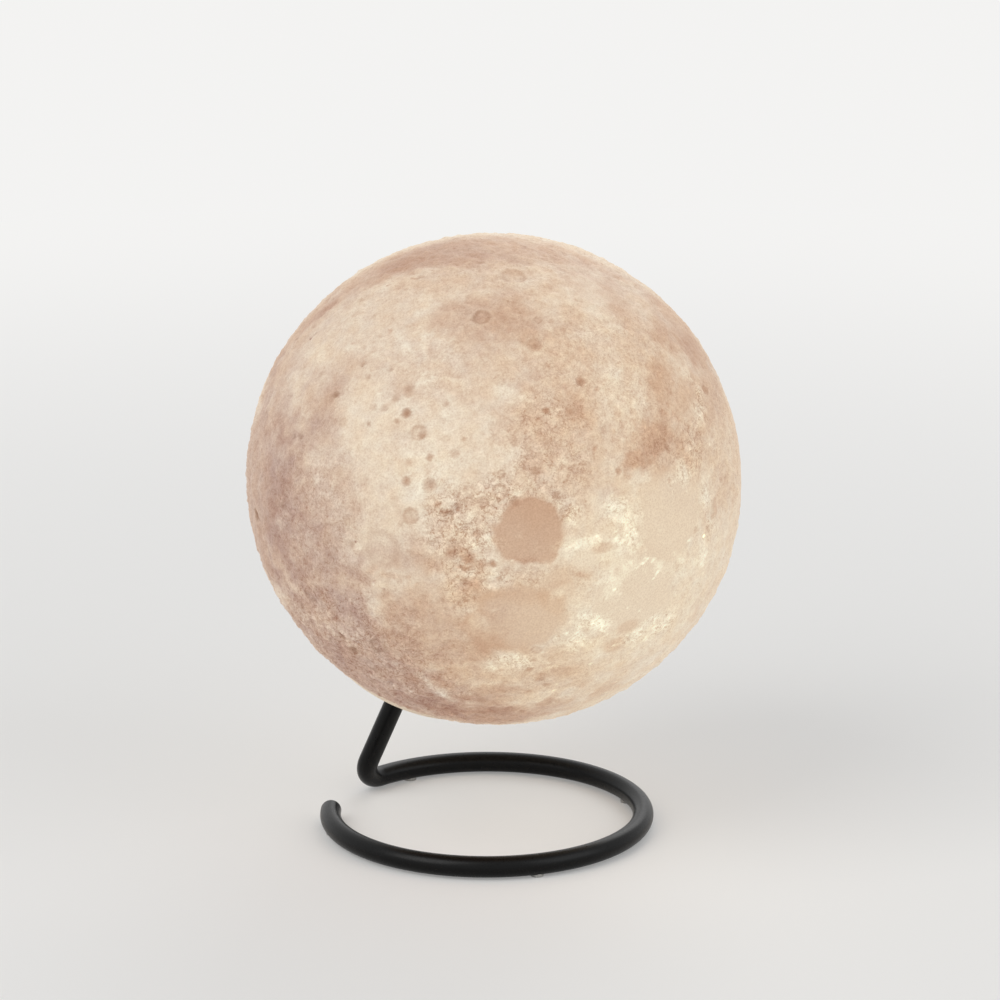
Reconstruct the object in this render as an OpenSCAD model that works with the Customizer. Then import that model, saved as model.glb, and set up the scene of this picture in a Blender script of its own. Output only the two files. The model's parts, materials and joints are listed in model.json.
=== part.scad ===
// Moon lamp: a glowing hollow moon carried on one bent steel rod.
// Millimetres, +Z up. The origin is on the table, straight below the moon's centre.
// The rod lies on the table as an open ring, turns up at its back left corner and leans
// towards the moon's centre. The moon slides down over the rod's end and turns on it.

/* [Moon shade] */
// Outer diameter of the moon
moon_d = 150; // [130:1:200]
// Wall of the hollow shade
shell_wall = 2; // [1.2:0.1:3]
// Free height between the top of the ring and the bottom of the moon
moon_gap = 29.5; // [22:0.5:45]

/* [Stand rod] */
// Diameter of the steel rod
rod_d = 6.5; // [5:0.5:8]
// Radius of the ring, measured to the middle of the rod
ring_r = 48.9; // [42:0.1:60]
// Sideways place of the ring's centre, from the moon's centre
ring_x = -2.4; // [-4:0.1:2]
// Ring angle of the free, rounded tip, counted from +X
tip_angle = 178; // [172:1:190]
// Ring angle where the ring ends and the corner begins
corner_angle = 134.8; // [130:0.1:140]
// Radius of the corner, to the middle of the rod
bend_r = 8.5; // [7:0.5:10]
// Bevel at the rod's upper end
rod_bevel = 1; // [0.4:0.1:1.5]

/* [Foot pads] */
// Number of pads under the ring
pad_count = 4; // [3:1:6]
// Diameter of a pad
pad_d = 4; // [3:0.5:7]
// Thickness under the rod
pad_t = 0.4; // [0.3:0.1:1.5]
// How far a pad reaches up beside the rod
pad_wrap = 0.8; // [0.5:0.1:1.2]
// Ring angle from the ends of the ring to the outermost pads
pad_inset = 14; // [10:1:20]

/* [Swivel socket] */
// Wall of the nylon bush on the rod's end
bush_wall = 1.3; // [1:0.1:2]
// Thickness of the bush's closed end
bush_end = 1.5; // [1:0.1:2.5]
// Wall of the metal sleeve round the bush
sleeve_wall = 0.9; // [0.7:0.1:1.5]
// Thickness of the sleeve's closed end
sleeve_end = 1.4; // [1:0.1:2]
// Depth from the cap's face to the rod's upper end
rod_depth = 35; // [28:1:36]
// Width of the sleeve's flange beyond its wall
flange_w = 3.2; // [3:0.1:3.3]
// Thickness of the sleeve's flange
flange_t = 1.2; // [0.8:0.1:1.5]

/* [Mouth and base cap] */
// Thickness of the collar's outer lip at the edge of the mouth
lip_t = 0.8; // [0.5:0.1:1.5]
// How far the lip covers the shade past the mouth
lip_w = 2.6; // [1.5:0.1:4]
// Wall of the collar round the cap
collar_wall = 1.2; // [1:0.1:1.6]
// Width of the collar's inner ledge, which takes the cap screws
ledge_w = 5.8; // [5.6:0.1:7]
// Thickness of the ledge
ledge_t = 5; // [4:0.5:8]
// Thickness of the base cap
cap_t = 3; // [2.6:0.1:4]
// Number of cap screws
cap_screw_count = 3; // [3:1:4]

/* [Light module] */
// Wall of the module's housing
housing_wall = 1.2; // [1:0.1:1.8]
// Thickness of the housing's roof and of its foot flange
housing_plate_t = 1.4; // [1.2:0.1:2]
// Height from the cap to the control board
post_h = 6; // [5.8:0.1:7]
// Thickness of the boards
board_t = 1.6; // [1:0.1:1.6]
// Length of the battery cell, along the housing
cell_h = 32; // [30:1:36]
// Width of the battery cell
cell_w = 25; // [22:0.5:26]
// Thickness of the battery cell
cell_t = 8.5; // [6:0.5:9]
// Thickness of the foam between the cell and the sleeve
foam_t = 1.2; // [0.8:0.1:2]
// Thickness of the aluminium plate under the lights
heat_plate_t = 1.5; // [1:0.1:2.5]
// Wall of the opal dome
dome_wall = 1.2; // [0.8:0.1:2]
// Number of light chips in the outer and the inner circle
chip_counts = [10, 4];

/* [Button and inlet] */
// Diameter of the push button
button_d = 8; // [6:0.5:8.5]
// Travel of the push button
button_travel = 0.5; // [0.3:0.1:0.6]
// Width of the charging inlet's metal shell
inlet_w = 9; // [8.9:0.1:9.4]
// Height of the charging inlet's metal shell
inlet_t = 3.3; // [3.2:0.1:3.6]
// Wall of the charging inlet's metal shell
inlet_wall = 0.33; // [0.25:0.01:0.4]

/* [Hidden] */
$fn = 96;

// Clearances
run_fit = 0.06;      // between pieces that turn or slide on each other
slip_fit = 0.2;      // between pieces that are put together once
glue_gap = 0.1;      // film of glue between two faces
seat_gap = 0.05;     // between pieces that rest on each other across a joint
near_gap = 0.4;      // between neighbouring pieces inside the module
cut = 1;             // how far a cutting solid runs past the face it opens
seam_step = 0.01;    // step in radius where two runs of the rod join
knuckle_step = 0.08; // slack between a lead's runs and its knuckles
seam_lap = 0.2;      // length by which such runs overlap

// Small screws: shank radius, head radius, head height
screw_r = 1;
head_r = 1.75;
head_h = 1.3;
fine_screw_r = 0.7;
fine_head_r = 1.2;
fine_head_h = 0.8;
thread_gap = 0.05;
screw_bite = 4;      // length of a shank in the piece that it holds
fine_bite = 1.7;     // the same for the sleeve's short screws
board_head_r = 1.5;  // head radius of the screws on the boards

// Leads: radius, then the gap between the two of a pair where they leave the plug, pass
// the roof, turn over the cell and end on its board
lead_r = 0.6;
plug_pitch = 2.8;
roof_pitch = 2.2;
turn_pitch = 2.6;
tap_pitch = 3.2;
lead_tail = 3.2;     // length of a soldered end
lead_rise = 2.2;     // straight length before a lead turns

// Moon and rod, in the lamp's own frame
moon_r = moon_d / 2;
rod_r = rod_d / 2;
rod_z = pad_t + rod_r;
moon_centre = [0, 0, pad_t + rod_d + moon_gap + moon_r];
ring_end = [ring_x + ring_r * cos(corner_angle), ring_r * sin(corner_angle), rod_z];
ring_heading = [-sin(corner_angle), cos(corner_angle), 0];
function unit(v) = v / norm(v);
// The upright aims at the moon's centre from the sharp corner, run_on past the ring's end.
function corner_point(run_on) = ring_end + run_on * ring_heading;
function aim(run_on) = unit(moon_centre - corner_point(run_on));
function turn(run_on) = acos(ring_heading * aim(run_on));
function settle(n) = n == 0 ? bend_r : bend_r * tan(turn(settle(n - 1)) / 2);
corner_run = settle(8);
axis = aim(corner_run);
corner_turn = turn(corner_run);
bend_inward = unit(axis - (axis * ring_heading) * ring_heading);
bend_centre = ring_end + bend_r * bend_inward;
bend_normal = cross(ring_heading, bend_inward);
upright_start = norm(moon_centre - corner_point(corner_run)) - corner_run;
lean = acos(axis.z);
lean_way = atan2(axis.y, axis.x);
ring_sweep = 360 + corner_angle - tip_angle;

// Radii about the rod's line
bush_bore_r = rod_r + run_fit;
bush_r = bush_bore_r + bush_wall;
sleeve_bore_r = bush_r + run_fit;
sleeve_r = sleeve_bore_r + sleeve_wall;
flange_r = sleeve_r + flange_w;
cell_x = sleeve_r + glue_gap + foam_t + seat_gap;
housing_in_r = norm([cell_w / 2, cell_x + cell_t]) + near_gap + glue_gap;
housing_r = housing_in_r + housing_wall;
ledge_bore_r = housing_r + slip_fit;
collar_r = ledge_bore_r + ledge_w;
mouth_r = collar_r + slip_fit;
recess_r = collar_r - collar_wall;
cap_r = recess_r - slip_fit;
lip_r = mouth_r + lip_w;
cap_screw_ring = (ledge_bore_r + recess_r) / 2;
board_r = housing_in_r - 2.5 * near_gap;
pipe_r = 1.2;
plunger_r = 1.6;
post_r = 2;

// Heights up the rod's line, counted from the cap's face
cell_board_t = 1.2;
head_low = 0.4;      // how deep the cap screws' heads lie in the cap
face_z = -(sqrt(pow(moon_r + glue_gap, 2) - pow(mouth_r, 2)) + lip_t);
foot_top = cap_t + housing_plate_t;
ledge_top = foot_top + ledge_t;
board_low = cap_t + post_h;
board_top = board_low + board_t;
cell_low = board_top + near_gap;
cell_top = cell_low + cell_h;
cell_board_top = cell_top + seat_gap + cell_board_t;
roof_low = cell_board_top + 2 * lead_r + near_gap;
roof_top = roof_low + housing_plate_t;
plate_top = roof_top + heat_plate_t;
led_top = plate_top + board_t;
bush_top = rod_depth + seat_gap + bush_end;
sleeve_low = 0.6;
sleeve_top = bush_top + seat_gap + sleeve_end;
lead_hole_r = roof_pitch + near_gap;

// Places round the cap, as [x, y] about the rod's line
button_angle = 232;
post_angles = [80, 180, 280];
inlet_at = [-(flange_r + inlet_t / 2 + 1.3), 0];
button_at = (flange_r + button_d / 2 + 4 * near_gap) * [cos(button_angle), sin(button_angle)];
pipe_at = [button_at.x, -button_at.y];
posts = [for (a = post_angles) (board_r - post_r - near_gap) * [cos(a), sin(a)]];
sleeve_screw_ring = sleeve_r + fine_head_r + near_gap;
sleeve_screw_angles = [0, 90, 270];
led_screw_ring = board_r * 0.58;
led_screw_angles = [60, 180, 300];
socket_size = [8, 4.8, 5];
plug_size = [6.6, 3.6, 5.2];
socket_wall = 0.55;
socket_floor = 0.8;
socket_angle = 117;
socket_at = [for (side = [1, -1]) 0.72 * board_r * [cos(socket_angle), side * sin(socket_angle)]];
plug_top = board_top + socket_floor + seat_gap + plug_size.z;
lead_turn_at = [cell_x - 9 * lead_r, cell_w / 2 + glue_gap];
tap_at = [cell_x - lead_r - glue_gap, cell_w * 0.344];
roof_pass_y = -lead_rise / 4;
switch_size = [6, 6, 3.4];
plunger_sink = 1;    // how far the plunger stands in the switch
button_low = 0.6;
button_flange_w = 0.9;
button_flange_t = 0.8;
dish_r = 15;         // sphere that hollows the button's face
dish_depth = 0.4;
pipe_low = 0.2;
pipe_flange_r = 2;
pipe_flange_t = 0.8;
status_size = [1.6, 0.8, 0.7];
inlet_low = 0.3;
inlet_floor_t = 1.5; // closed inner end of the inlet's shell
tongue_low = 1.4;
tongue_t = 0.7;
tongue_w = inlet_w - 2.3;
chip_block = [4, 4, 1];
small_block = [0.8, 1.6, 0.6];
small_block_angles = [150, 162, 198, 210];
rib_t = 1.6;         // ribs that keep the cell in the middle
rib_gap = 0.3;
rib_deep = 10;
pad_share = 0.6;     // width of the foam as a share of the cell's
dome_foot = 2;       // straight foot of the dome
chip_size = [3.5, 2.8, 0.8];
ring_shares = [0.78, 0.36]; // circles of chips, as shares of the board's radius
button_top = cap_t + seat_gap + button_flange_t;

// Puts a piece of the moon, drawn about the rod's line with the moon's centre at the
// origin, where it belongs.
module in_moon() {
  translate(moon_centre)
    rotate([0, lean, lean_way])
      children();
}

// The same, with the origin at the middle of the cap's face.
module on_cap(h = 0) {
  in_moon()
    translate([0, 0, face_z + h])
      children();
}

// A straight hole or pin of radius r from height a to height b.
module pin(r, a, b) {
  translate([0, 0, a])
    cylinder(r = r, h = b - a);
}

// A flat bar with half-round ends, w wide and t thick, from height a to height b.
module stadium(w, t, a, b) {
  for (side = [-1, 1])
    translate([0, side * (w - t) / 2, 0])
      pin(t / 2, a, b);
  translate([-t / 2, -(w - t) / 2, a])
    cube([t, w - t, b - a]);
}

// A block centred on the line, from height a to height b.
module block(size, a, b) {
  translate([-size.x / 2, -size.y / 2, a])
    cube([size.x, size.y, b - a]);
}

// A pan-head screw whose head rests on height seat and whose shank points up.
module screw_up(seat, reach, r, head, head_t) {
  pin(r, seat, seat + reach);
  pin(head, seat - head_t, seat);
}

// A pan-head screw whose head rests on height seat and whose shank points down.
module screw_down(seat, reach, r, head, head_t) {
  pin(r, seat - reach, seat);
  pin(head, seat, seat + head_t);
}

// How far a lead's runs stop short of its point i, so that only the knuckle joins them.
function knuckle_trim(points, i) = let (
    before = unit(points[i] - points[i - 1]),
    after = unit(points[i + 1] - points[i])
  ) lead_r * tan(acos(before * after) / 2) + knuckle_step;

// A soft lead along the given points, with a round knuckle at each turn.
module lead(points) {
  last = len(points) - 1;
  for (i = [0 : last - 1]) {
    way = unit(points[i + 1] - points[i]);
    start = i == 0 ? 0 : knuckle_trim(points, i);
    end = norm(points[i + 1] - points[i]) - (i == last - 1 ? 0 : knuckle_trim(points, i + 1));
    translate(points[i])
      rotate([0, acos(way.z), atan2(way.y, way.x)])
        pin(lead_r, start, end, $fn = 24);
  }
  for (i = [1 : last - 1])
    translate(points[i])
      sphere(r = norm([lead_r, knuckle_trim(points, i)]) + knuckle_step / 2, $fn = 24);
}

// One steel rod: open ring, corner and leaning upright. The corner is a hair wider than
// the ring and the upright that run into it.
module stand_rod() {
  corner_r = rod_r + seam_step;
  seam_angle = asin(seam_lap / ring_r);
  color([0.05, 0.05, 0.055]) {
    translate([ring_x, 0, rod_z]) {
      rotate([0, 0, tip_angle - seam_angle])
        rotate_extrude(angle = ring_sweep + 2 * seam_angle)
          translate([ring_r, 0])
            circle(r = rod_r);
      translate(ring_r * [cos(tip_angle), sin(tip_angle), 0])
        sphere(r = rod_r - seam_step);
    }
    multmatrix([for (i = [0 : 2])
      [-bend_inward[i], ring_heading[i], bend_normal[i], bend_centre[i]]])
      rotate_extrude(angle = corner_turn)
        translate([bend_r, 0])
          circle(r = corner_r);
    in_moon()
      rotate_extrude()
        polygon([
          [0, -upright_start - seam_lap],
          [rod_r, -upright_start - seam_lap],
          [rod_r, face_z + rod_depth - rod_bevel],
          [rod_r - rod_bevel, face_z + rod_depth],
          [0, face_z + rod_depth]
        ]);
  }
}

// Soft clear pads stuck under the ring, each with a groove for the rod.
module foot_pads() {
  step = (ring_sweep - 2 * pad_inset) / (pad_count - 1);
  color([0.8, 0.79, 0.77])
    for (i = [0 : pad_count - 1])
      translate([ring_x, 0, 0])
        rotate([0, 0, tip_angle + pad_inset + i * step])
          difference() {
            translate([ring_r, 0, 0])
              cylinder(d = pad_d, h = pad_t + pad_wrap);
            translate([0, 0, rod_z])
              rotate([0, 0, -pad_inset])
                rotate_extrude(angle = 2 * pad_inset)
                  translate([ring_r, 0])
                    circle(r = rod_r + glue_gap / 2);
          }
}

// Nylon cup on the rod's end, which turns with the moon.
module swivel_bush() {
  color([0.85, 0.83, 0.78])
    on_cap()
      difference() {
        pin(bush_r, sleeve_low, bush_top);
        pin(bush_bore_r, sleeve_low - cut, rod_depth + seat_gap);
      }
}

// Hollow printed moon with a round mouth where the rod enters.
module moon_shell() {
  color([0.98, 0.93, 0.84])
    in_moon()
      difference() {
        sphere(r = moon_r, $fn = 144);
        sphere(r = moon_r - shell_wall, $fn = 144);
        pin(mouth_r, -moon_r - cut, -moon_r / 2);
      }
}

// Collar glued into the mouth: outer lip, wall round the cap and a ledge for the screws.
module mouth_collar() {
  color([0.93, 0.91, 0.86])
    on_cap()
      difference() {
        union() {
          difference() {
            cylinder(r1 = lip_r - lip_t, r2 = lip_r, h = lip_w);
            translate([0, 0, -face_z])
              sphere(r = moon_r + glue_gap, $fn = 144);
          }
          pin(collar_r, 0, ledge_top);
        }
        pin(recess_r, -cut, foot_top);
        pin(ledge_bore_r, 0, ledge_top + cut);
        for (i = [0 : cap_screw_count - 1])
          rotate([0, 0, i * 360 / cap_screw_count])
            translate([cap_screw_ring, 0, 0])
              pin(screw_r + thread_gap, foot_top - cut, foot_top + screw_bite);
      }
}

// Flat plate that closes the mouth, with posts for the control board inside.
module base_cap() {
  color([0.9, 0.88, 0.83])
    on_cap()
      difference() {
        union() {
          pin(cap_r, 0, cap_t);
          for (at = posts)
            translate(at)
              pin(post_r, 0, board_low);
        }
        pin(sleeve_r + seat_gap, -cut, cap_t + cut);
        translate(inlet_at)
          stadium(inlet_w + 2 * slip_fit, inlet_t + 2 * slip_fit, -cut, cap_t + cut);
        translate(button_at)
          pin(button_d / 2 + slip_fit, -cut, cap_t + cut);
        translate(pipe_at)
          pin(pipe_r + seat_gap, -cut, cap_t + cut);
        for (i = [0 : cap_screw_count - 1])
          rotate([0, 0, i * 360 / cap_screw_count])
            translate([cap_screw_ring, 0, 0]) {
              pin(screw_r + slip_fit, -cut, cap_t + cut);
              pin(head_r + slip_fit, -cut, head_h + head_low);
            }
        for (a = sleeve_screw_angles)
          rotate([0, 0, a])
            translate([sleeve_screw_ring, 0, 0])
              pin(fine_screw_r + thread_gap, cap_t - fine_bite - near_gap, cap_t + cut);
        for (at = posts)
          translate(at)
            pin(fine_screw_r + thread_gap, board_low - screw_bite - near_gap, board_low + cut);
      }
}

// Screws that hold the cap and the housing's foot to the collar.
module cap_screws() {
  color([0.75, 0.75, 0.77])
    on_cap()
      for (i = [0 : cap_screw_count - 1])
        rotate([0, 0, i * 360 / cap_screw_count])
          translate([cap_screw_ring, 0, 0])
            screw_up(head_h + head_low, foot_top + screw_bite - near_gap - head_h - head_low,
              screw_r, head_r, head_h);
}

// Metal sleeve, closed at its upper end, that slides over the bush.
module rod_sleeve() {
  color([0.78, 0.68, 0.42])
    on_cap()
      difference() {
        union() {
          pin(sleeve_r, sleeve_low, sleeve_top);
          pin(flange_r, cap_t, cap_t + flange_t);
        }
        pin(sleeve_bore_r, sleeve_low - cut, sleeve_top - sleeve_end);
        for (a = sleeve_screw_angles)
          rotate([0, 0, a])
            translate([sleeve_screw_ring, 0, 0])
              pin(fine_screw_r + thread_gap, cap_t - cut, cap_t + flange_t + cut);
      }
}

// Fine screws that hold the sleeve's flange to the cap.
module sleeve_screws() {
  color([0.72, 0.72, 0.74])
    on_cap()
      for (a = sleeve_screw_angles)
        rotate([0, 0, a])
          translate([sleeve_screw_ring, 0, 0])
            screw_down(cap_t + flange_t, flange_t + fine_bite, fine_screw_r, fine_head_r,
              fine_head_h);
}

// Push button in the cap, kept in by its inner flange.
module button_cap() {
  color([0.62, 0.62, 0.63])
    on_cap()
      translate(button_at)
        difference() {
          union() {
            pin(button_d / 2, button_low, cap_t + seat_gap);
            pin(button_d / 2 + button_flange_w, cap_t + seat_gap, button_top);
          }
          translate([0, 0, button_low + dish_depth - dish_r])
            sphere(r = dish_r);
        }
}

// The switch's plunger, which moves with the button.
module switch_plunger() {
  color([0.15, 0.15, 0.16])
    on_cap()
      translate(button_at)
        pin(plunger_r, button_top, board_low - switch_size.z + plunger_sink);
}

// Small square switch on the underside of the control board.
module tact_switch() {
  color([0.3, 0.3, 0.32])
    on_cap()
      translate(button_at)
        difference() {
          block(switch_size, board_low - switch_size.z, board_low);
          pin(plunger_r + run_fit, board_low - switch_size.z - cut,
            board_low - switch_size.z + plunger_sink + button_travel + near_gap);
        }
}

// Metal shell of the charging inlet.
module usb_port() {
  color([0.72, 0.73, 0.75])
    on_cap()
      translate(inlet_at)
        difference() {
          stadium(inlet_w, inlet_t, inlet_low, board_low);
          stadium(inlet_w - 2 * inlet_wall, inlet_t - 2 * inlet_wall, inlet_low - cut,
            board_low - inlet_floor_t);
        }
}

// Contact tongue in the middle of the inlet.
module usb_tongue() {
  color([0.12, 0.12, 0.13])
    on_cap()
      translate(inlet_at)
        block([tongue_t, tongue_w, 0], tongue_low, board_low - inlet_floor_t);
}

// Clear pipe that carries the charge light to the cap's face.
module light_pipe() {
  color([0.85, 0.9, 0.92, 0.5])
    on_cap()
      translate(pipe_at) {
        pin(pipe_r, pipe_low, board_low - status_size.z - near_gap);
        pin(pipe_flange_r, cap_t, cap_t + pipe_flange_t);
      }
}

// Charge light on the underside of the control board.
module status_led() {
  color([0.9, 0.3, 0.2])
    on_cap()
      translate(pipe_at)
        block(status_size, board_low - status_size.z, board_low);
}

// Round control board over the cap.
module control_board() {
  color([0.08, 0.35, 0.2])
    on_cap()
      difference() {
        pin(board_r, board_low, board_top);
        pin(sleeve_r + 1.5 * near_gap, board_low - cut, board_top + cut);
        for (at = posts)
          translate(at)
            pin(fine_screw_r + slip_fit, board_low - cut, board_top + cut);
      }
}

// Chips, coil and small parts on the upper side of the control board.
module board_components() {
  color([0.1, 0.1, 0.11])
    on_cap() {
      for (side = [-1, 1])
        translate([inlet_at.x + 1.5 * near_gap, side * chip_block.y * 0.9])
          block(chip_block, board_top, board_top + chip_block.z);
      for (a = small_block_angles)
        rotate([0, 0, a])
          translate([sleeve_r + small_block.y, 0])
            block(small_block, board_top, board_top + small_block.z);
    }
}

// Screws that hold the control board to its posts.
module board_screws() {
  color([0.72, 0.72, 0.74])
    on_cap()
      for (at = posts)
        translate(at)
          screw_down(board_top, board_t + screw_bite, fine_screw_r, board_head_r, fine_head_h);
}

// Two sockets for the leads' plugs.
module lead_sockets() {
  color([0.92, 0.9, 0.84])
    on_cap()
      for (at = socket_at)
        translate(at)
          difference() {
            block(socket_size, board_top, board_top + socket_size.z);
            block(socket_size - 2 * socket_wall * [1, 1, 0], board_top + socket_floor,
              board_top + socket_size.z + cut);
          }
}

// Plugs on the leads' ends.
module lead_plugs() {
  color([0.95, 0.94, 0.9])
    on_cap()
      for (at = socket_at)
        translate(at)
          block(plug_size, board_top + socket_floor + seat_gap,
            board_top + socket_floor + seat_gap + plug_size.z);
}

// Leads from the cell's board to the battery plug.
module battery_leads() {
  solder_z = cell_board_top + lead_r + seat_gap;
  color([0.75, 0.1, 0.08])
    on_cap()
      for (side = [-1, 1])
        lead([
          [socket_at[0].x + side * plug_pitch / 2, socket_at[0].y, plug_top],
          [socket_at[0].x + side * plug_pitch / 2, socket_at[0].y, cell_top - cell_h * 0.375],
          [lead_turn_at.x, lead_turn_at.y + side * turn_pitch / 2, cell_board_top - 5 * lead_r],
          [tap_at.x, tap_at.y + side * tap_pitch / 2, solder_z],
          [tap_at.x + lead_tail, tap_at.y + side * tap_pitch / 2, solder_z]
        ]);
}

// Leads from the lamp plug up to the light board.
module led_leads() {
  color([0.85, 0.82, 0.75])
    on_cap()
      for (side = [-1, 1])
        lead([
          [socket_at[1].x + side * plug_pitch / 2, socket_at[1].y, plug_top],
          [socket_at[1].x + side * plug_pitch / 2, socket_at[1].y, sleeve_top + lead_rise],
          [side * roof_pitch / 2, roof_pass_y, sleeve_top + lead_rise + 2 * lead_r],
          [side * roof_pitch / 2, roof_pass_y, led_top + lead_rise * 0.65],
          [side * (roof_pitch / 2 + 2 * lead_r), roof_pass_y, led_top + lead_rise * 0.9],
          [side * (roof_pitch / 2 + lead_tail), roof_pass_y, led_top + lead_r + glue_gap]
        ]);
}

// Flat lithium cell beside the sleeve.
module battery_cell() {
  color([0.7, 0.72, 0.75])
    on_cap()
      translate([cell_x + cell_t / 2, 0, 0])
        block([cell_t, cell_w, 0], cell_low, cell_top);
}

// Small guard board across the cell's end.
module cell_board() {
  color([0.75, 0.6, 0.15])
    on_cap()
      translate([cell_x + cell_t / 2, 0, 0])
        block([cell_t - cell_board_t, cell_w - 2 * rib_t, 0], cell_top + seat_gap, cell_board_top);
}

// Foam between the sleeve and the cell.
module battery_pad() {
  color([0.2, 0.2, 0.22])
    on_cap()
      translate([sleeve_r + glue_gap + foam_t / 2, 0, 0])
        block([foam_t, cell_w * pad_share, 0], cell_low + screw_bite / 2, sleeve_top - sleeve_end);
}

// Housing over the board and the cell, held by its foot flange.
module housing() {
  color([0.95, 0.94, 0.9])
    on_cap()
      difference() {
        union() {
          pin(housing_r, cap_t, roof_top);
          pin(cap_r, cap_t, foot_top);
        }
        difference() {
          pin(housing_in_r, cap_t - cut, roof_low);
          for (side = [-1, 1])
            translate([cell_x + cell_t / 2, side * (cell_w / 2 + rib_gap + rib_deep / 2), 0])
              block([rib_t, rib_deep, 0], cell_low, cell_top);
        }
        pin(lead_hole_r, roof_low - cut, roof_top + cut);
        for (i = [0 : cap_screw_count - 1])
          rotate([0, 0, i * 360 / cap_screw_count])
            translate([cap_screw_ring, 0, 0])
              pin(screw_r + slip_fit, cap_t - cut, foot_top + cut);
        for (a = led_screw_angles)
          rotate([0, 0, a])
            translate([led_screw_ring, 0, 0])
              pin(fine_screw_r + thread_gap, roof_low - cut, roof_top + cut);
      }
}

// A round plate with the lead hole and the light board's screw holes.
module light_plate(r, low, high) {
  difference() {
    pin(r, low, high);
    pin(lead_hole_r, low - cut, high + cut);
    for (a = led_screw_angles)
      rotate([0, 0, a])
        translate([led_screw_ring, 0, 0])
          pin(fine_screw_r + slip_fit, low - cut, high + cut);
  }
}

// Aluminium plate that spreads the lights' heat.
module heat_plate() {
  color([0.78, 0.79, 0.8])
    on_cap()
      light_plate(housing_r, roof_top, plate_top);
}

// White board with the light chips.
module led_board() {
  color([0.96, 0.96, 0.95])
    on_cap()
      light_plate(housing_r - dome_wall - near_gap, plate_top, led_top);
}

// Warm light chips in two circles.
module led_chips() {
  color([0.98, 0.85, 0.35])
    on_cap()
      for (ring = [0, 1], i = [0 : chip_counts[ring] - 1])
        rotate([0, 0, (i + 0.5) * 360 / chip_counts[ring]])
          translate([ring_shares[ring] * board_r, 0, 0])
            block(chip_size, led_top, led_top + chip_size.z);
}

// Screws that hold the light board and the plate to the housing's roof.
module led_screws() {
  color([0.72, 0.72, 0.74])
    on_cap()
      for (a = led_screw_angles)
        rotate([0, 0, a])
          translate([led_screw_ring, 0, 0])
            screw_down(led_top, led_top - roof_low, fine_screw_r, board_head_r, fine_head_h);
}

// Opal dome over the lights.
module led_dome() {
  dome_z = plate_top + dome_foot;
  color([0.97, 0.96, 0.92, 0.9])
    on_cap()
      difference() {
        union() {
          translate([0, 0, dome_z])
            sphere(r = housing_r);
          pin(housing_r, plate_top, dome_z);
        }
        translate([0, 0, dome_z])
          sphere(r = housing_r - dome_wall);
        pin(housing_r - dome_wall, plate_top - cut, dome_z);
        pin(housing_r + cut, dome_z - housing_r - cut, plate_top);
      }
}

stand_rod();
foot_pads();
swivel_bush();
moon_shell();
mouth_collar();
base_cap();
cap_screws();
rod_sleeve();
sleeve_screws();
button_cap();
switch_plunger();
tact_switch();
usb_port();
usb_tongue();
light_pipe();
status_led();
control_board();
board_components();
board_screws();
lead_sockets();
lead_plugs();
battery_leads();
led_leads();
battery_cell();
cell_board();
battery_pad();
housing();
heat_plate();
led_board();
led_chips();
led_screws();
led_dome();
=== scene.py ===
# %% [markdown]
# # A moon lamp on a bent steel rod
# The lamp is a hollow printed moon, 15 cm across, that glows from inside. One black steel rod
# carries it: the rod lies on the table as an open ring, turns up and ends inside the moon.
# The CAD model already has every piece at its true size, so it is loaded first as a fixed
# frame, and everything that follows is built around it, in metres.

# %% Load the frame
import json
import math

import bmesh
import bpy
import numpy as np
from mathutils import Matrix, Vector, noise


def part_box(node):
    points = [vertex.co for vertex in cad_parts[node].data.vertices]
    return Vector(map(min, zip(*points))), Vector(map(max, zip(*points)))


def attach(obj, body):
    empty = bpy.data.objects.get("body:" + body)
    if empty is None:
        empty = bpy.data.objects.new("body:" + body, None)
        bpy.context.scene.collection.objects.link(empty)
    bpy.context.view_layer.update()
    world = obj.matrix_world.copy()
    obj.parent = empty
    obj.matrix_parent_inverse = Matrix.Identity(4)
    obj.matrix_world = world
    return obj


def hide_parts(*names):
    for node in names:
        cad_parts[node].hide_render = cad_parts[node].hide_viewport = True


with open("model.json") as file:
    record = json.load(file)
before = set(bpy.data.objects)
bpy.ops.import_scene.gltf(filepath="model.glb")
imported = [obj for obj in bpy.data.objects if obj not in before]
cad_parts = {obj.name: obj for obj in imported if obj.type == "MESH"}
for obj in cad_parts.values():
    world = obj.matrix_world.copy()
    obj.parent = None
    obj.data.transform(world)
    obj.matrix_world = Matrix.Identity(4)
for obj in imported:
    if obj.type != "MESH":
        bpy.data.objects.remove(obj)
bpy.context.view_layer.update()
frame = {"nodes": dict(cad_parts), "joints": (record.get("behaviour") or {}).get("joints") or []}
MM = 0.001

# %% [markdown]
# ## Camera
# A picture taken from about one metre with a long lens shows a round object with little
# perspective. The camera could be placed by eye, but a fit is surer: the ring's ellipse gives
# the pitch, the moon's width gives the distance, and the tip and corner of the ring give the
# side on which the camera stands. Those three numbers are all that a level camera needs.

# %% Place the camera
CAMERA_PLACE = Vector((1.71, -1077.0, 386.5)) * MM
CAMERA_PITCH = math.radians(14.666)
FOCAL_PIXELS = 3638.0
PICTURE_SIDE = 1000.0

camera_data = bpy.data.cameras.new("camera")
camera_data.sensor_width = 36.0
camera_data.lens = FOCAL_PIXELS / PICTURE_SIDE * camera_data.sensor_width
camera = bpy.data.objects.new("camera", camera_data)
camera.location = CAMERA_PLACE
camera.rotation_euler = (math.pi / 2 - CAMERA_PITCH, 0.0, 0.0)
bpy.context.scene.collection.objects.link(camera)
bpy.context.scene.camera = camera
bpy.context.scene.view_settings.view_transform = "Standard"
print("lens in mm:", round(camera_data.lens, 1))

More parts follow.
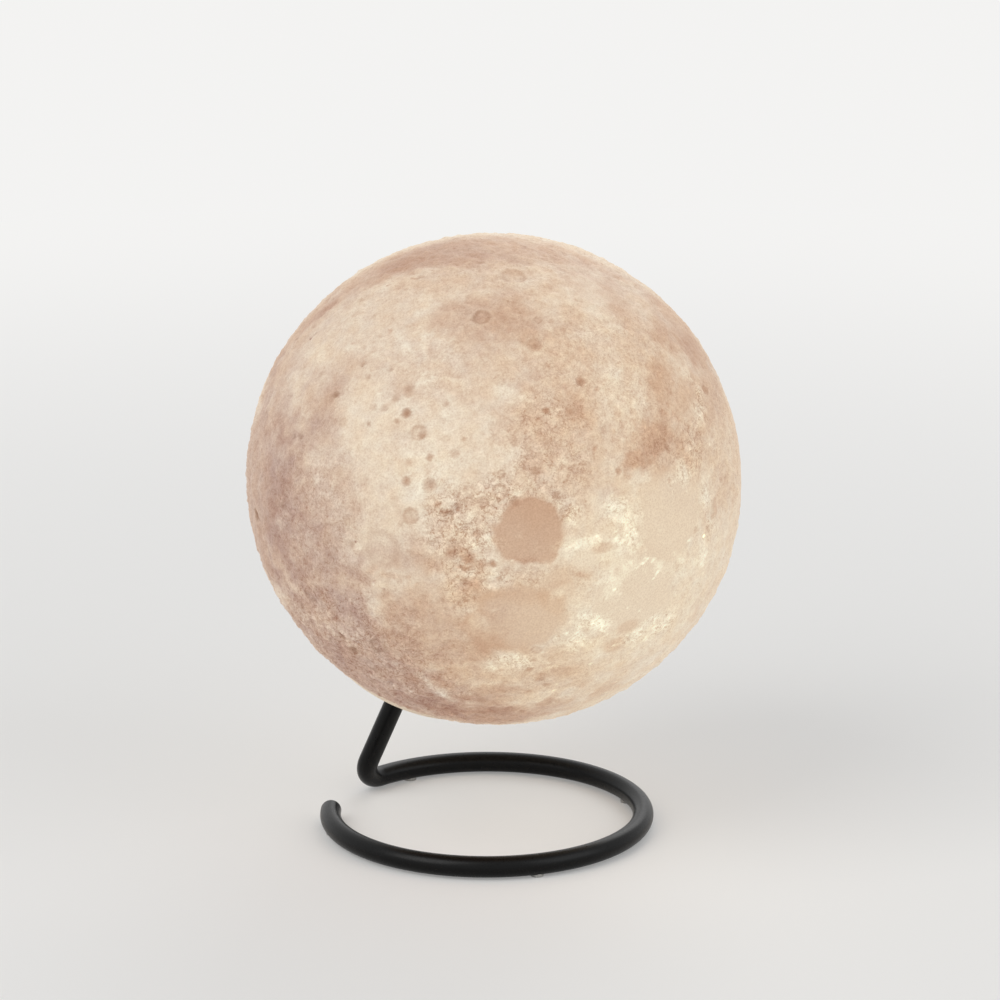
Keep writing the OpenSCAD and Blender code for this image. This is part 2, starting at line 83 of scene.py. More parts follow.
# %% [markdown]
# ## Small helpers for materials
# A finish is a network of nodes. Written out by hand, each network takes many lines, so a few
# helpers keep the cells short: one makes a node and sets its fields, one makes a colour ramp,
# one does a step of arithmetic, one mixes two shaders and one turns a height into bump.
# Constants always go straight onto the shader's own sockets, because other programs can only
# read them there.

# %% Material helpers
def new_finish(name):
    """A new material with its node tree and its main shader."""
    material = bpy.data.materials.new(name)
    material.use_nodes = True
    return material, material.node_tree, material.node_tree.nodes["Principled BSDF"]


def put(tree, kind, **fields):
    """A node of this kind. A field is one of its settings, or the name of an input."""
    node = tree.nodes.new("ShaderNode" + kind)
    for name, value in fields.items():
        if name in node.bl_rna.properties:
            setattr(node, name, value)
        else:
            node.inputs[name.replace("_", " ")].default_value = value
    return node


def ramp(tree, source, stops):
    """A colour ramp that reads source. Stops are (place, colour), with a grey as one number."""
    node = put(tree, "ValToRGB")
    while len(node.color_ramp.elements) < len(stops):
        node.color_ramp.elements.new(1.0)
    for element, (place, colour) in zip(node.color_ramp.elements, stops):
        element.position = place
        element.color = (*colour, 1.0) if hasattr(colour, "__len__") else (colour,) * 3 + (1.0,)
    tree.links.new(source, node.inputs[0])
    return node.outputs["Color"]


def calc(tree, operation, first, second):
    """One step of arithmetic. Each side is a number or another node's output."""
    node = put(tree, "Math", operation=operation)
    for value, socket in zip((first, second), node.inputs):
        if hasattr(value, "is_linked"):
            tree.links.new(value, socket)
        else:
            socket.default_value = value
    return node.outputs[0]


def mixed(tree, share, first, second):
    """Two shaders in one: the first where share is 0, the second where it is 1."""
    mix = put(tree, "MixShader")
    for source, socket in zip((share, first.outputs[0], second.outputs[0]), mix.inputs):
        tree.links.new(source, socket)
    return mix.outputs[0]


def shade_of(red, green, blue):
    """The linear colour of a screen colour that is given in steps of 0 to 255."""
    return tuple((v / 255.0) ** 2.2 for v in (red, green, blue))


def bump(tree, source, shader, depth_mm, strength=1.0):
    """Bump from a height between 0 and 1 that is depth_mm deep."""
    node = put(tree, "Bump", Strength=strength, Distance=depth_mm * MM)
    tree.links.new(source, node.inputs["Height"])
    tree.links.new(node.outputs["Normal"], shader.inputs["Normal"])


# %% [markdown]
# ## Stage and light
# The lamp stands on a plain pale floor. A dark room would show the glow well but hide the
# rod, so the light is that of a soft studio: one wide lamp at the left, a weaker one at the
# right, one behind, and a pale sky. Floor and sky look almost white to the camera and in
# reflections, and stay softer for the light that falls on the pieces, so that the background
# is clean while every piece keeps its own colour. Close to the lamp the floor is a plain matt
# surface, which keeps the shadow.

# %% What the eye sees
def seen_share(tree):
    """1 where a ray comes from the camera, a mirror or glass, and 0 for all other light."""
    rays = put(tree, "LightPath").outputs
    mirrored = calc(tree, "MAXIMUM", rays["Is Glossy Ray"], rays["Is Transmission Ray"])
    return calc(tree, "MAXIMUM", rays["Is Camera Ray"], mirrored)


# %% Floor
FLOOR_HALF, FLOOR_DROP = 6.0, 0.02 * MM
MATT_REACH, WHITE_REACH, LEAST_WHITE = 0.16, 1.1, 0.25
floor_mesh = bpy.data.meshes.new("floor")
floor_sides = ((-1, -1), (1, -1), (1, 1), (-1, 1))
floor_corners = [(x * FLOOR_HALF, y * FLOOR_HALF, -FLOOR_DROP) for x, y in floor_sides]
floor_mesh.from_pydata(floor_corners, [], [(0, 1, 2, 3)])
floor = bpy.data.objects.new("floor", floor_mesh)
bpy.context.scene.collection.objects.link(floor)
floor_finish, floor_tree, floor_shader = new_finish("floor")
floor_shader.inputs["Base Color"].default_value = (0.84, 0.83, 0.81, 1.0)
floor_shader.inputs["Roughness"].default_value = 0.85
floor_place = put(floor_tree, "TexCoord").outputs["Object"]
floor_reach = put(floor_tree, "VectorMath", operation="LENGTH")
floor_tree.links.new(floor_place, floor_reach.inputs[0])
floor_fade = put(floor_tree, "MapRange", interpolation_type="SMOOTHSTEP",
                 From_Min=MATT_REACH, From_Max=WHITE_REACH, To_Min=LEAST_WHITE, To_Max=1.0)
floor_tree.links.new(floor_reach.outputs["Value"], floor_fade.inputs["Value"])
floor_white = put(floor_tree, "Emission", Color=(0.90, 0.895, 0.885, 1.0))
floor_share = calc(floor_tree, "MULTIPLY", seen_share(floor_tree), floor_fade.outputs["Result"])
floor_look = mixed(floor_tree, floor_share, floor_shader, floor_white)
floor_tree.links.new(floor_look, floor_tree.nodes["Material Output"].inputs["Surface"])
floor_mesh.materials.append(floor_finish)

# %% Sky
world = bpy.data.worlds.new("sky")
bpy.context.scene.world = world
world.use_nodes = True
sky_tree = world.node_tree
sky_tree.nodes.clear()
soft_sky = put(sky_tree, "Background", Color=(0.95, 0.97, 1.0, 1.0), Strength=0.42)
seen_sky = put(sky_tree, "Background", Color=(0.95, 0.95, 0.945, 1.0), Strength=1.0)
sky_look = mixed(sky_tree, seen_share(sky_tree), soft_sky, seen_sky)
sky_tree.links.new(sky_look, put(sky_tree, "OutputWorld").inputs["Surface"])

# %% Lamps
# (name, place, power, side, colour)
LAMPS = (
    ("key_lamp", (-1.3, -1.1, 1.7), 22.0, 1.6, (1.0, 0.99, 0.97)),
    ("fill_lamp", (1.4, -0.8, 1.1), 8.0, 1.4, (0.97, 0.985, 1.0)),
    ("rim_lamp", (0.5, 1.6, 1.4), 8.0, 1.2, (1.0, 1.0, 1.0)),
)
LAMP_AIM = Vector((0.0, 0.0, 0.09))
for name, place, power, side, colour in LAMPS:
    lamp_data = bpy.data.lights.new(name, "AREA")
    lamp_data.energy, lamp_data.size, lamp_data.color = power, side, colour
    lamp = bpy.data.objects.new(name, lamp_data)
    lamp.location = place
    lamp.rotation_euler = (LAMP_AIM - lamp.location).to_track_quat("-Z", "Y").to_euler()
    bpy.context.scene.collection.objects.link(lamp)
print("lamps:", len(LAMPS))

# %% [markdown]
# ## Where the moon is
# The moon slides onto the rod and turns on it, so the record of its turning joint gives both
# its centre and the rod's line. That line is also the moon's axis: the mouth that takes the
# rod is at one end of it. All of the relief is worked out on a sphere of radius one, where a
# point is only a direction from the centre.

# %% Moon axes
swivel = next(joint for joint in frame["joints"] if joint["name"] == "moon_swivel")
moon_centre = Vector(swivel["pos_m"])
rod_way = Vector(swivel["axis"]).normalized()
moon_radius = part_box("moon_shell")[1].z - moon_centre.z
side_way = Vector((0.0, 0.0, 1.0)).cross(rod_way).normalized()
front_way = rod_way.cross(side_way)
print("moon radius in mm:", round(moon_radius / MM, 2))
print("moon centre in mm:", [round(v / MM, 1) for v in moon_centre])


def seen_at(x, y):
    """The direction from the moon's centre to the point that the camera sees at pixel x, y."""
    right = (x - PICTURE_SIDE / 2) / FOCAL_PIXELS
    up = (PICTURE_SIDE / 2 - y) / FOCAL_PIXELS
    level, fall = math.cos(CAMERA_PITCH), math.sin(CAMERA_PITCH)
    ray = Vector((right, level + up * fall, up * level - fall))
    ray.normalize()
    to_centre = moon_centre - CAMERA_PLACE
    along = to_centre.dot(ray)
    miss = to_centre.length_squared - along * along
    reach = along - math.sqrt(max(moon_radius ** 2 - miss, 0.0))
    return (CAMERA_PLACE + ray * reach - moon_centre).normalized()


# %% [markdown]
# ## A map for the far side
# A picture shows one half of the moon. The other half needs a plan as well, or the lamp looks
# empty from behind. The relief repeats the real moon in mirror image, so three directions,
# found from four plains in the picture, turn any longitude and latitude into a direction.

# %% Longitude and latitude
MAP_PRIME = Vector((0.7907, -0.3971, -0.4660))
MAP_EAST = Vector((-0.4443, -0.8958, 0.0095))
MAP_NORTH = Vector((0.4213, -0.1995, 0.8847))


def on_map(longitude, latitude):
    """The direction of a place on the moon's map, in degrees."""
    lon, lat = math.radians(longitude), math.radians(latitude)
    flat = MAP_PRIME * math.cos(lon) + MAP_EAST * math.sin(lon)
    return (flat * math.cos(lat) + MAP_NORTH * math.sin(lat)).normalized()


# %% [markdown]
# ## The moon's grid
# The relief could be a bump map, but then the edge of the moon would be a perfect circle and
# the printed shape would be lost. Real vertices are moved instead. Rows of points run round
# the rod's line, from the edge of the mouth to the far pole, about 0.7 mm apart.

# %% Directions of the grid
COLUMNS, ROWS = 672, 296
MOUTH_RADIUS = 27.75 * MM
WALL = 2.0 * MM


def grid_directions(columns, rows, radius):
    """Directions of a grid that starts at the mouth's edge, as an array of rows x columns."""
    start = math.pi - math.asin(MOUTH_RADIUS / radius)
    polar = np.linspace(start, math.pi / rows / 2, rows)[:, None]
    turn = np.linspace(0.0, 2 * math.pi, columns, endpoint=False)[None, :]
    parts = (np.sin(polar) * np.cos(turn), np.sin(polar) * np.sin(turn), np.cos(polar) + 0 * turn)
    ways = (side_way, front_way, rod_way)
    return sum(part[..., None] * np.array(way) for part, way in zip(parts, ways))


outer_ways = grid_directions(COLUMNS, ROWS, moon_radius).reshape(-1, 3)
print("points on the outside:", len(outer_ways))

# %% [markdown]
# ## From the sphere to the picture
# Patches and marks are given in the picture's pixels, because that is where they are seen.
# Each point of the grid is therefore projected into the picture once. What is placed by the
# picture fades out before the moon's edge, and what comes from the map fades out in front.

# %% Project the grid into the picture
def rough(ways, frequency, octaves, shift):
    """Fractal noise of about -1 to 1 at each direction."""
    offset = Vector((shift, -shift, 2.0 * shift))
    return np.array([noise.fractal(Vector(w) * frequency + offset, 0.9, 2.0, octaves) for w in ways])


def picture_places(ways):
    """The pixel at which the camera sees each direction, and how squarely it faces the camera."""
    level, fall = math.cos(CAMERA_PITCH), math.sin(CAMERA_PITCH)
    offset = ways * moon_radius + np.array(moon_centre - CAMERA_PLACE)
    depth = offset @ np.array((0.0, level, -fall))
    rise = offset @ np.array((0.0, fall, level))
    x = PICTURE_SIDE / 2 + FOCAL_PIXELS * offset[:, 0] / depth
    y = PICTURE_SIDE / 2 - FOCAL_PIXELS * rise / depth
    facing = -(ways * offset).sum(1) / np.linalg.norm(offset, axis=1)
    return x, y, facing


picture_x, picture_y, facing = picture_places(outer_ways)
mark_fade = np.clip((facing - 0.05) / 0.2, 0.0, 1.0)
behind = 1.0 - np.clip((facing + 0.05) / 0.25, 0.0, 1.0)
fine_edge = rough(outer_ways, 34.0, 3, 9.3)
print("share of the moon that the camera sees:", round(float((facing > 0.0).mean()), 3))

# %% [markdown]
# ## Broad patches of tone
# Two things make the moon's colours. Wide shades come from how thick the print is over a large
# area, and tan plains are thick, smooth floors. Some patches also hold painted shade: they make
# the moon darker towards its lower left and along its edge as the camera sees it. Each patch
# below is an ellipse in the picture, laid onto the sphere. After its place, half width, half
# height and softness come four numbers: its shade, where less than 0 is darker, how tan it is,
# how smooth and how rugged.

# %% Patches in front
# (name, x, y, half width, half height, softness, shade, tan, smooth, rugged)
FRONT_PATCHES = (
    # Painted shade: the next five rows darken the moon towards its lower left and its edge there; their tan
    # is the print's own
    ("left_limb", 256, 490, 30, 90, 1.0, -0.44, -0.30, 0.0, 0.4),
    ("left_shoulder", 306, 528, 46, 72, 1.0, -0.31, 0.00, 0.0, 0.6),
    ("lower_left", 348, 656, 58, 50, 1.0, -0.39, -0.10, 0.0, 1.0),
    ("lower_left_edge", 395, 700, 60, 24, 1.0, -0.20, -0.05, 0.0, 0.8),
    ("bottom_edge", 480, 716, 64, 13, 1.0, -0.22, 0.62, 0.0, 0.3),
    # Painted shade: the next two rows darken the moon along its edge at the upper left and the top
    ("upper_left_edge", 290, 350, 20, 60, 1.0, -0.20, 0.10, 0.0, 0.1),
    ("top_edge", 450, 248, 110, 15, 1.0, -0.23, 0.38, 0.0, 0.1),
    ("upper_left", 378, 318, 62, 42, 1.0, -0.08, -0.10, 0.0, 0.1),
    ("upper_left_band", 345, 378, 40, 20, 1.0, -0.06, 0.14, 0.0, 0.1),
    ("top_band", 480, 274, 90, 22, 1.0, -0.05, 0.26, 0.0, 0.2),
    ("top_blotch", 496, 318, 50, 24, 1.0, -0.15, 0.42, 0.0, 0.2),
    ("heart", 420, 462, 56, 44, 1.0, 0.01, -0.08, 0.0, 0.1),
    ("upper_right", 610, 375, 84, 72, 1.0, 0.04, 0.38, 0.0, 0.4),
    ("middle", 550, 455, 40, 70, 1.0, 0.00, 0.30, 0.0, 0.7),
    ("pale_streak", 624, 396, 20, 34, 1.0, 0.02, -0.22, 0.0, 0.3),
    ("pale_top_right", 598, 288, 24, 20, 1.0, -0.06, -0.10, 0.5, 0.0),
    ("rose_band", 680, 322, 14, 32, 1.0, -0.06, 0.45, 0.3, 0.0),
    ("right_brown_top", 674, 392, 18, 26, 1.0, 0.00, 0.30, 0.2, 0.2),
    ("right_brown", 660, 446, 27, 24, 0.8, -0.02, 0.40, 0.0, 0.6),
    ("right_strip", 692, 446, 12, 26, 0.8, 0.02, 0.24, 0.0, 0.8),
    ("right_limb", 728, 440, 20, 56, 0.6, 0.03, 0.28, 0.1, 0.35),
    ("lower_right", 636, 590, 84, 84, 0.8, 0.13, 0.08, 0.15, 0.2),
    ("cluster", 458, 530, 32, 42, 1.0, 0.00, 0.24, 0.0, 1.0),
    ("left_of_plain", 495, 500, 24, 24, 1.0, 0.00, 0.05, 0.0, 1.0),
    ("bottom_left", 432, 638, 58, 50, 1.0, 0.00, 0.56, 0.0, 0.3),
    ("bottom", 520, 684, 74, 30, 1.0, 0.05, 0.42, 0.0, 0.3),
    ("under_round_plain", 525, 584, 44, 18, 1.0, 0.00, 0.30, 0.0, 0.6),
    ("left_of_low_plain", 467, 576, 26, 34, 1.0, 0.11, 0.10, 0.0, 0.9),
    ("above_the_heart", 438, 372, 46, 34, 1.0, -0.15, 0.06, 0.0, 0.2),
    ("below_the_heart", 404, 552, 20, 20, 1.0, -0.15, 0.12, 0.0, 0.2),
    ("pale_shoulder", 308, 374, 20, 26, 1.0, 0.15, -0.08, 0.0, 0.1),
    # Painted shade: the next three rows darken the moon along its edge at the top and the upper right
    ("top_left_edge", 432, 254, 36, 14, 1.0, -0.13, 0.05, 0.0, 0.0),
    ("upper_right_edge", 708, 372, 14, 34, 1.0, -0.14, 0.16, 0.0, 0.0),
    ("upper_right_limb", 644, 306, 34, 26, 1.0, -0.10, 0.10, 0.0, 0.0),
    ("left_of_heart", 318, 410, 24, 30, 1.0, -0.10, 0.05, 0.0, 0.2),
    ("lower_left_rim", 306, 586, 20, 38, 1.0, 0.12, -0.15, 0.0, 0.5),
    ("pale_bottom", 476, 674, 30, 14, 1.0, 0.16, -0.12, 0.0, 0.3),
    ("right_half", 660, 470, 70, 150, 1.0, 0.03, 0.12, 0.0, 0.0),
)
# The plains have crisper edges, and none of them is rugged, so that number is left out
FRONT_PLAINS = (
    ("round_plain", 530, 533, 32, 31, 0.16, -0.07, 0.80, 1.0),
    ("low_plain", 518, 621, 45, 31, 0.25, 0.02, 0.50, 0.9),
    ("low_plain_lobe", 556, 592, 16, 20, 0.3, 0.03, 0.20, 0.8),
    ("small_plain", 586, 558, 13, 9, 0.3, 0.03, 0.06, 0.8),
    ("pale_plain", 638, 592, 36, 36, 0.25, -0.02, 0.02, 1.0),
    ("pale_oval", 671, 516, 28, 43, 0.2, 0.00, 0.10, 1.0),
    ("left_basin", 383, 549, 18, 18, 0.3, -0.03, 0.02, 0.8),
    ("brown_spot_a", 657, 440, 10, 14, 0.5, -0.02, 0.25, 0.0),
    ("brown_spot_b", 635, 460, 10, 8, 0.5, -0.02, 0.35, 0.0),
    ("brown_spot_c", 602, 547, 9, 5, 0.6, -0.03, 0.40, 0.2),
    ("tan_patch_a", 626, 628, 9, 6, 0.6, -0.03, 0.30, 0.4),
    ("tan_patch_b", 614, 643, 10, 6, 0.6, -0.03, 0.30, 0.4),
)

# %% Patches behind
# (longitude, latitude, half width, half height, shade, tan, smooth), in degrees
BACK_PLAINS = (
    ("rain_plain", -16, 34, 19, 17, -0.03, 0.42, 1.0),
    ("ocean_north", -50, 32, 14, 20, -0.03, 0.40, 1.0),
    ("ocean_middle", -52, 8, 15, 16, -0.03, 0.45, 1.0),
    ("ocean_south", -42, -8, 12, 10, -0.02, 0.40, 1.0),
    ("wet_plain", -39, -24, 7, 7, -0.05, 0.55, 1.0),
    ("cloud_plain", -16, -20, 11, 10, 0.00, 0.35, 0.9),
    ("island_plain", -29, 6, 9, 7, 0.00, 0.35, 0.9),
    ("vapour_plain", 3, 13, 5, 4, 0.00, 0.35, 0.9),
    ("middle_bay", 1, 2, 5, 3, 0.00, 0.35, 0.9),
    ("nectar_plain", 34, -15, 6, 6, -0.02, 0.40, 1.0),
    ("cold_band_a", -20, 58, 20, 3, 0.01, 0.30, 0.9),
    ("cold_band_b", 22, 57, 18, 3, 0.01, 0.30, 0.9),
    ("southern_plain", 93, -40, 12, 9, -0.03, 0.20, 0.5),
    ("far_lake", 129, -20, 3, 3, -0.08, 0.50, 0.9),
    ("far_bay", 164, -33, 5, 5, -0.05, 0.35, 0.7),
    ("south_basin", -170, -48, 26, 22, -0.08, 0.15, 0.0),
    ("ring_basin_heart", -93, -19, 5, 5, -0.08, 0.45, 0.9),
    ("west_crater", -68, -5, 3, 2, -0.06, 0.50, 0.9),
)

# %% Lay the patches onto the sphere
edge_noise = rough(outer_ways, 9.0, 5, 3.1)
MOON_X, MOON_Y, PIXELS_PER_RADIUS = 494.0, 478.0, 246.0
LEAST_FACING = 0.35
# How torn the outlines are
PATCH_TEAR, PLAIN_TEAR, BACK_TEAR = 0.3, 0.22, 0.45
BACK_SOFTNESS = 0.3


def ellipse_cover(ways, centre, half_width, half_height, softness, ragged):
    """How far inside an ellipse each direction lies: 1 well inside, 0 outside."""
    across = Vector((1.0, 0.0, 0.0)) - centre * centre.x
    across.normalize()
    upward = centre.cross(across)
    offset = ways - np.array(centre)
    place = np.hypot(offset @ np.array(across) / half_width, offset @ np.array(upward) / half_height)
    inside = (1.0 + ragged * edge_noise - place) / softness + 0.5
    inside = np.clip(inside, 0.0, 1.0) * (ways @ np.array(centre) > 0.0)
    return inside * inside * (3.0 - 2.0 * inside)


def picture_ellipse(x, y, half_width, half_height, softness, ragged):
    """Cover of an ellipse that is given in the picture's pixels."""
    centre = seen_at(x, y)
    slant = max(centre.dot((CAMERA_PLACE - moon_centre).normalized()), LEAST_FACING)
    outward = math.atan2(y - MOON_Y, x - MOON_X)
    stretch_x = 1.0 + (1.0 / slant - 1.0) * abs(math.cos(outward))
    stretch_y = 1.0 + (1.0 / slant - 1.0) * abs(math.sin(outward))
    width = half_width / PIXELS_PER_RADIUS * stretch_x
    height = half_height / PIXELS_PER_RADIUS * stretch_y
    return ellipse_cover(outer_ways, centre, width, height, softness, ragged)


def lay_patches():
    """Shade, tan, smoothness and ruggedness at each direction of the grid."""
    shade, tan, smooth, rugged = (np.zeros(len(outer_ways)) for _ in range(4))
    front = [(*patch, PATCH_TEAR) for patch in FRONT_PATCHES]
    front += [(*plain, 0.0, PLAIN_TEAR) for plain in FRONT_PLAINS]
    for _, x, y, width, height, softness, tone, warm, even, rough_ground, tear in front:
        cover = picture_ellipse(x, y, width, height, softness, tear)
        shade += tone * cover
        tan += warm * cover
        smooth = np.maximum(smooth, even * cover)
        rugged = np.maximum(rugged, rough_ground * cover)
    for _, lon, lat, width, height, tone, warm, even in BACK_PLAINS:
        size = [math.sin(math.radians(angle)) for angle in (width, height)]
        cover = behind * ellipse_cover(outer_ways, on_map(lon, lat), *size, BACK_SOFTNESS, BACK_TEAR)
        shade += tone * cover
        tan = np.maximum(tan, warm * cover)
        smooth = np.maximum(smooth, even * cover)
    return shade, tan, smooth, rugged * (1.0 - smooth)


moon_shade, moon_tan, moon_smooth, moon_rugged = lay_patches()
print("share of smooth ground:", round(float((moon_smooth > 0.5).mean()), 3))

# %% [markdown]
# ## Streaks and spots
# Much of what the eye reads on the moon is smaller than a patch and isn't round: torn bright
# ground beside the plains, brown hollows, thin shadows. They are placed where the picture shows
# them, as slanted ellipses with torn edges: two noises bend each ellipse's outline.

# %% Streaks and spots
# (x, y, half length, half width, tilt in degrees, shade, tan, rugged)
PICTURE_MARKS = {
    "bright ground beside the plains": (
        (629, 524, 27, 9, 80, 0.12, -0.12, 0.7), (580, 543, 24, 6, -12, 0.14, -0.15, 0.4),
        (594, 622, 18, 10, 10, 0.14, -0.18, 0.7), (575, 641, 16, 8, -20, 0.13, -0.15, 0.7),
        (636, 634, 14, 9, -30, 0.11, -0.10, 0.6), (617, 581, 30, 6, -50, 0.11, -0.12, 0.2),
        (515, 661, 26, 8, 5, 0.13, -0.22, 0.8), (683, 471, 14, 11, 60, 0.08, -0.20, 0.8),
        (699, 404, 28, 6, 80, 0.05, -0.15, 0.9), (662, 622, 20, 8, -45, 0.04, -0.05, 0.7),
        (612, 510, 18, 9, 90, 0.11, -0.15, 0.7), (571, 512, 12, 12, 0, 0.04, -0.12, 1.0),
        (494, 541, 8, 12, 90, 0.07, -0.20, 0.6), (505, 578, 18, 6, 8, 0.04, -0.12, 0.8),
        (668, 655, 22, 7, -42, 0.06, -0.05, 0.3), (540, 696, 30, 6, -14, 0.07, -0.20, 0.2),
        (705, 500, 30, 5, 82, 0.06, -0.08, 0.6), (702, 552, 20, 5, -78, 0.06, -0.08, 0.5),
        (640, 515, 30, 4, 84, 0.05, -0.08, 0.4), (672, 570, 24, 4, 6, 0.05, -0.06, 0.3),
    ),
    "bright spots": (
        (599, 621, 5, 4, 0, 0.14, -0.15, 0.0), (679, 559, 4, 4, 0, 0.12, -0.15, 0.0),
        (695, 563, 5, 5, 0, 0.12, -0.10, 0.0), (657, 564, 4, 4, 0, 0.12, -0.15, 0.0),
        (598, 583, 4, 3, 0, 0.10, -0.10, 0.0), (560, 592, 6, 5, 0, 0.10, -0.25, 0.0),
        (516, 493, 4, 4, 0, 0.13, -0.25, 0.0), (490, 540, 4, 4, 0, 0.12, -0.20, 0.0),
        (475, 624, 12, 10, 0, 0.09, -0.35, 0.0), (563, 460, 6, 6, 0, 0.06, -0.20, 0.0),
        (484, 583, 4, 4, 0, 0.10, -0.25, 0.0), (427, 376, 13, 7, -8, 0.07, -0.08, 0.0),
    ),
    "pale ground": (
        (423, 669, 18, 10, 10, 0.06, -0.22, 0.2), (452, 690, 26, 7, 12, 0.07, -0.30, 0.2),
        (378, 612, 22, 5, 56, 0.06, -0.12, 0.2), (505, 452, 16, 8, 5, 0.03, -0.22, 0.2),
        (386, 546, 20, 17, 0, 0.03, -0.12, 0.2), (282, 566, 22, 5, 62, 0.12, 0.00, 0.3),
        (423, 480, 18, 26, 0, 0.03, -0.12, 0.1), (602, 322, 22, 10, 20, 0.03, -0.10, 0.0),
        (612, 378, 10, 26, 0, 0.02, -0.12, 0.2), (300, 395, 8, 26, -10, 0.06, -0.10, 0.0),
        (615, 556, 15, 15, 0, 0.10, -0.05, 0.0), (600, 646, 26, 9, -20, 0.08, -0.05, 0.0),
        (466, 526, 10, 12, 0, 0.08, 0.00, 0.0),
        (376, 556, 13, 12, 0, 0.09, 0.00, 0.0), (418, 652, 30, 14, 30, 0.05, 0.00, 0.2),
    ),
    "brown patches": (
        (655, 440, 28, 13, -62, -0.03, 0.34, 0.5), (634, 462, 15, 8, -38, -0.03, 0.34, 0.5),
        (657, 378, 21, 12, 80, -0.02, 0.22, 0.2), (577, 408, 16, 11, 70, -0.03, 0.30, 0.6),
        (533, 466, 16, 10, 10, -0.02, 0.34, 0.6), (581, 574, 11, 4, 8, -0.07, 0.45, 0.2),
        (615, 645, 10, 6, -20, -0.04, 0.34, 0.2), (500, 687, 24, 5, 4, -0.06, 0.35, 0.1),
        (553, 671, 22, 4, -12, -0.04, 0.30, 0.2), (714, 508, 8, 3, 80, -0.10, 0.50, 0.0),
        (706, 530, 18, 3, 82, -0.03, 0.30, 0.2), (444, 564, 16, 9, 20, -0.03, 0.32, 0.7),
        (467, 553, 10, 6, 30, -0.08, 0.45, 1.0), (479, 565, 6, 6, 0, -0.08, 0.45, 0.8),
        (475, 583, 9, 8, 0, -0.03, 0.35, 0.3), (390, 574, 12, 3, 8, -0.05, 0.30, 0.2),
        (374, 567, 5, 4, 0, -0.06, 0.35, 0.0), (338, 388, 42, 9, -54, -0.06, 0.14, 0.1),
        (492, 645, 12, 8, 0, -0.02, 0.25, 0.0), (600, 690, 18, 4, -32, -0.02, 0.35, 0.1),
        (530, 562, 20, 4, 4, -0.04, 0.18, 0.3), (514, 503, 12, 4, -20, -0.05, 0.30, 0.6),
        (560, 583, 14, 4, -18, -0.02, 0.18, 0.1), (545, 440, 22, 9, 60, -0.02, 0.18, 0.6),
        (430, 322, 20, 12, 0, 0.00, 0.25, 0.1), (416, 600, 18, 14, 0, 0.00, 0.12, 0.2),
    ),
    "soft shadows": (
        (330, 307, 20, 3, -44, -0.16, 0.15, 0.0), (398, 266, 26, 6, -22, -0.04, 0.25, 0.1),
        (472, 658, 9, 2, 6, -0.12, 0.20, 0.0), (479, 631, 7, 2, 20, -0.08, 0.15, 0.0),
        (274, 462, 32, 6, 84, -0.14, -0.15, 0.2), (291, 486, 18, 4, 60, -0.12, -0.05, 0.4),
        (312, 540, 26, 10, 70, -0.10, -0.10, 0.2), (352, 612, 22, 12, 50, -0.12, -0.15, 0.3),
        (394, 662, 26, 9, 35, -0.10, -0.12, 0.3), (300, 516, 14, 8, 60, -0.08, 0.05, 0.2),
        (343, 650, 20, 11, 50, -0.20, 0.00, 0.6), (405, 552, 12, 10, 0, -0.05, 0.00, 0.0),
        (300, 375, 10, 20, 0, -0.10, 0.00, 0.0), (525, 376, 14, 16, 0, -0.09, 0.00, 0.0),
        (612, 494, 12, 10, 0, -0.11, 0.10, 0.2), (494, 612, 12, 12, 0, -0.08, 0.00, 0.2),
        (398, 415, 20, 40, 0, -0.05, 0.00, 0.0), (318, 526, 12, 14, 0, -0.08, 0.00, 0.2),
        (500, 408, 18, 14, 0, -0.07, 0.00, 0.0), (496, 706, 20, 8, 0, -0.06, 0.10, 0.0),
        (326, 640, 26, 5, 52, -0.08, 0.05, 0.4), (492, 317, 22, 10, 0, -0.05, 0.15, 0.0),
    ),
}


# %% Lay the streaks and spots
def lay_marks():
    """Shade, tan and ruggedness that the marks add."""
    shade, tan, rugged = (np.zeros(len(outer_ways)) for _ in range(3))
    for marks in PICTURE_MARKS.values():
        for x, y, length, width, tilt, tone, warm, rough_ground in marks:
            slant = math.radians(tilt)
            right, down = picture_x - x, picture_y - y
            along = (right * math.cos(slant) + down * math.sin(slant)) / length
            across = (down * math.cos(slant) - right * math.sin(slant)) / width
            reach = np.hypot(along, across) * (1.0 + 0.45 * edge_noise + 0.65 * fine_edge)
            cover = np.exp(-np.clip(reach, 0.0, 3.0) ** 4) * mark_fade
            shade += tone * cover
            tan += warm * cover
            rugged = np.maximum(rugged, rough_ground * cover)
    return shade, tan, rugged


mark_shade, mark_tan, mark_rugged = lay_marks()
print("marks:", sum(len(marks) for marks in PICTURE_MARKS.values()))

# %% [markdown]
# ## Rays
# Some young craters lie in a fan of bright rays. A ray is a narrow range of bearings round the
# crater, so noise is read on a small circle, by bearing alone, and fades with the distance.

# %% Rays
# (longitude, latitude, reach in degrees) of the ones behind
BACK_FANS = (
    (-11, -43, 34), (-20, 10, 16), (-38, 8, 10), (-47, 24, 9), (104, 36, 14), (61, -9, 9), (-129, 6, 12),
)
# (x, y, reach in pixels) of the ones in the picture
FRONT_FANS = ((427, 376, 130), (411, 516, 40))
SPOKES = 3.2


def spoke_noise(turn, number):
    """Noise that depends only on the bearing round a crater, and differs from fan to fan."""
    on_circle = Vector((math.cos(turn) * SPOKES, math.sin(turn) * SPOKES, number * 5.0))
    return noise.fractal(on_circle, 0.6, 2.2, 4)


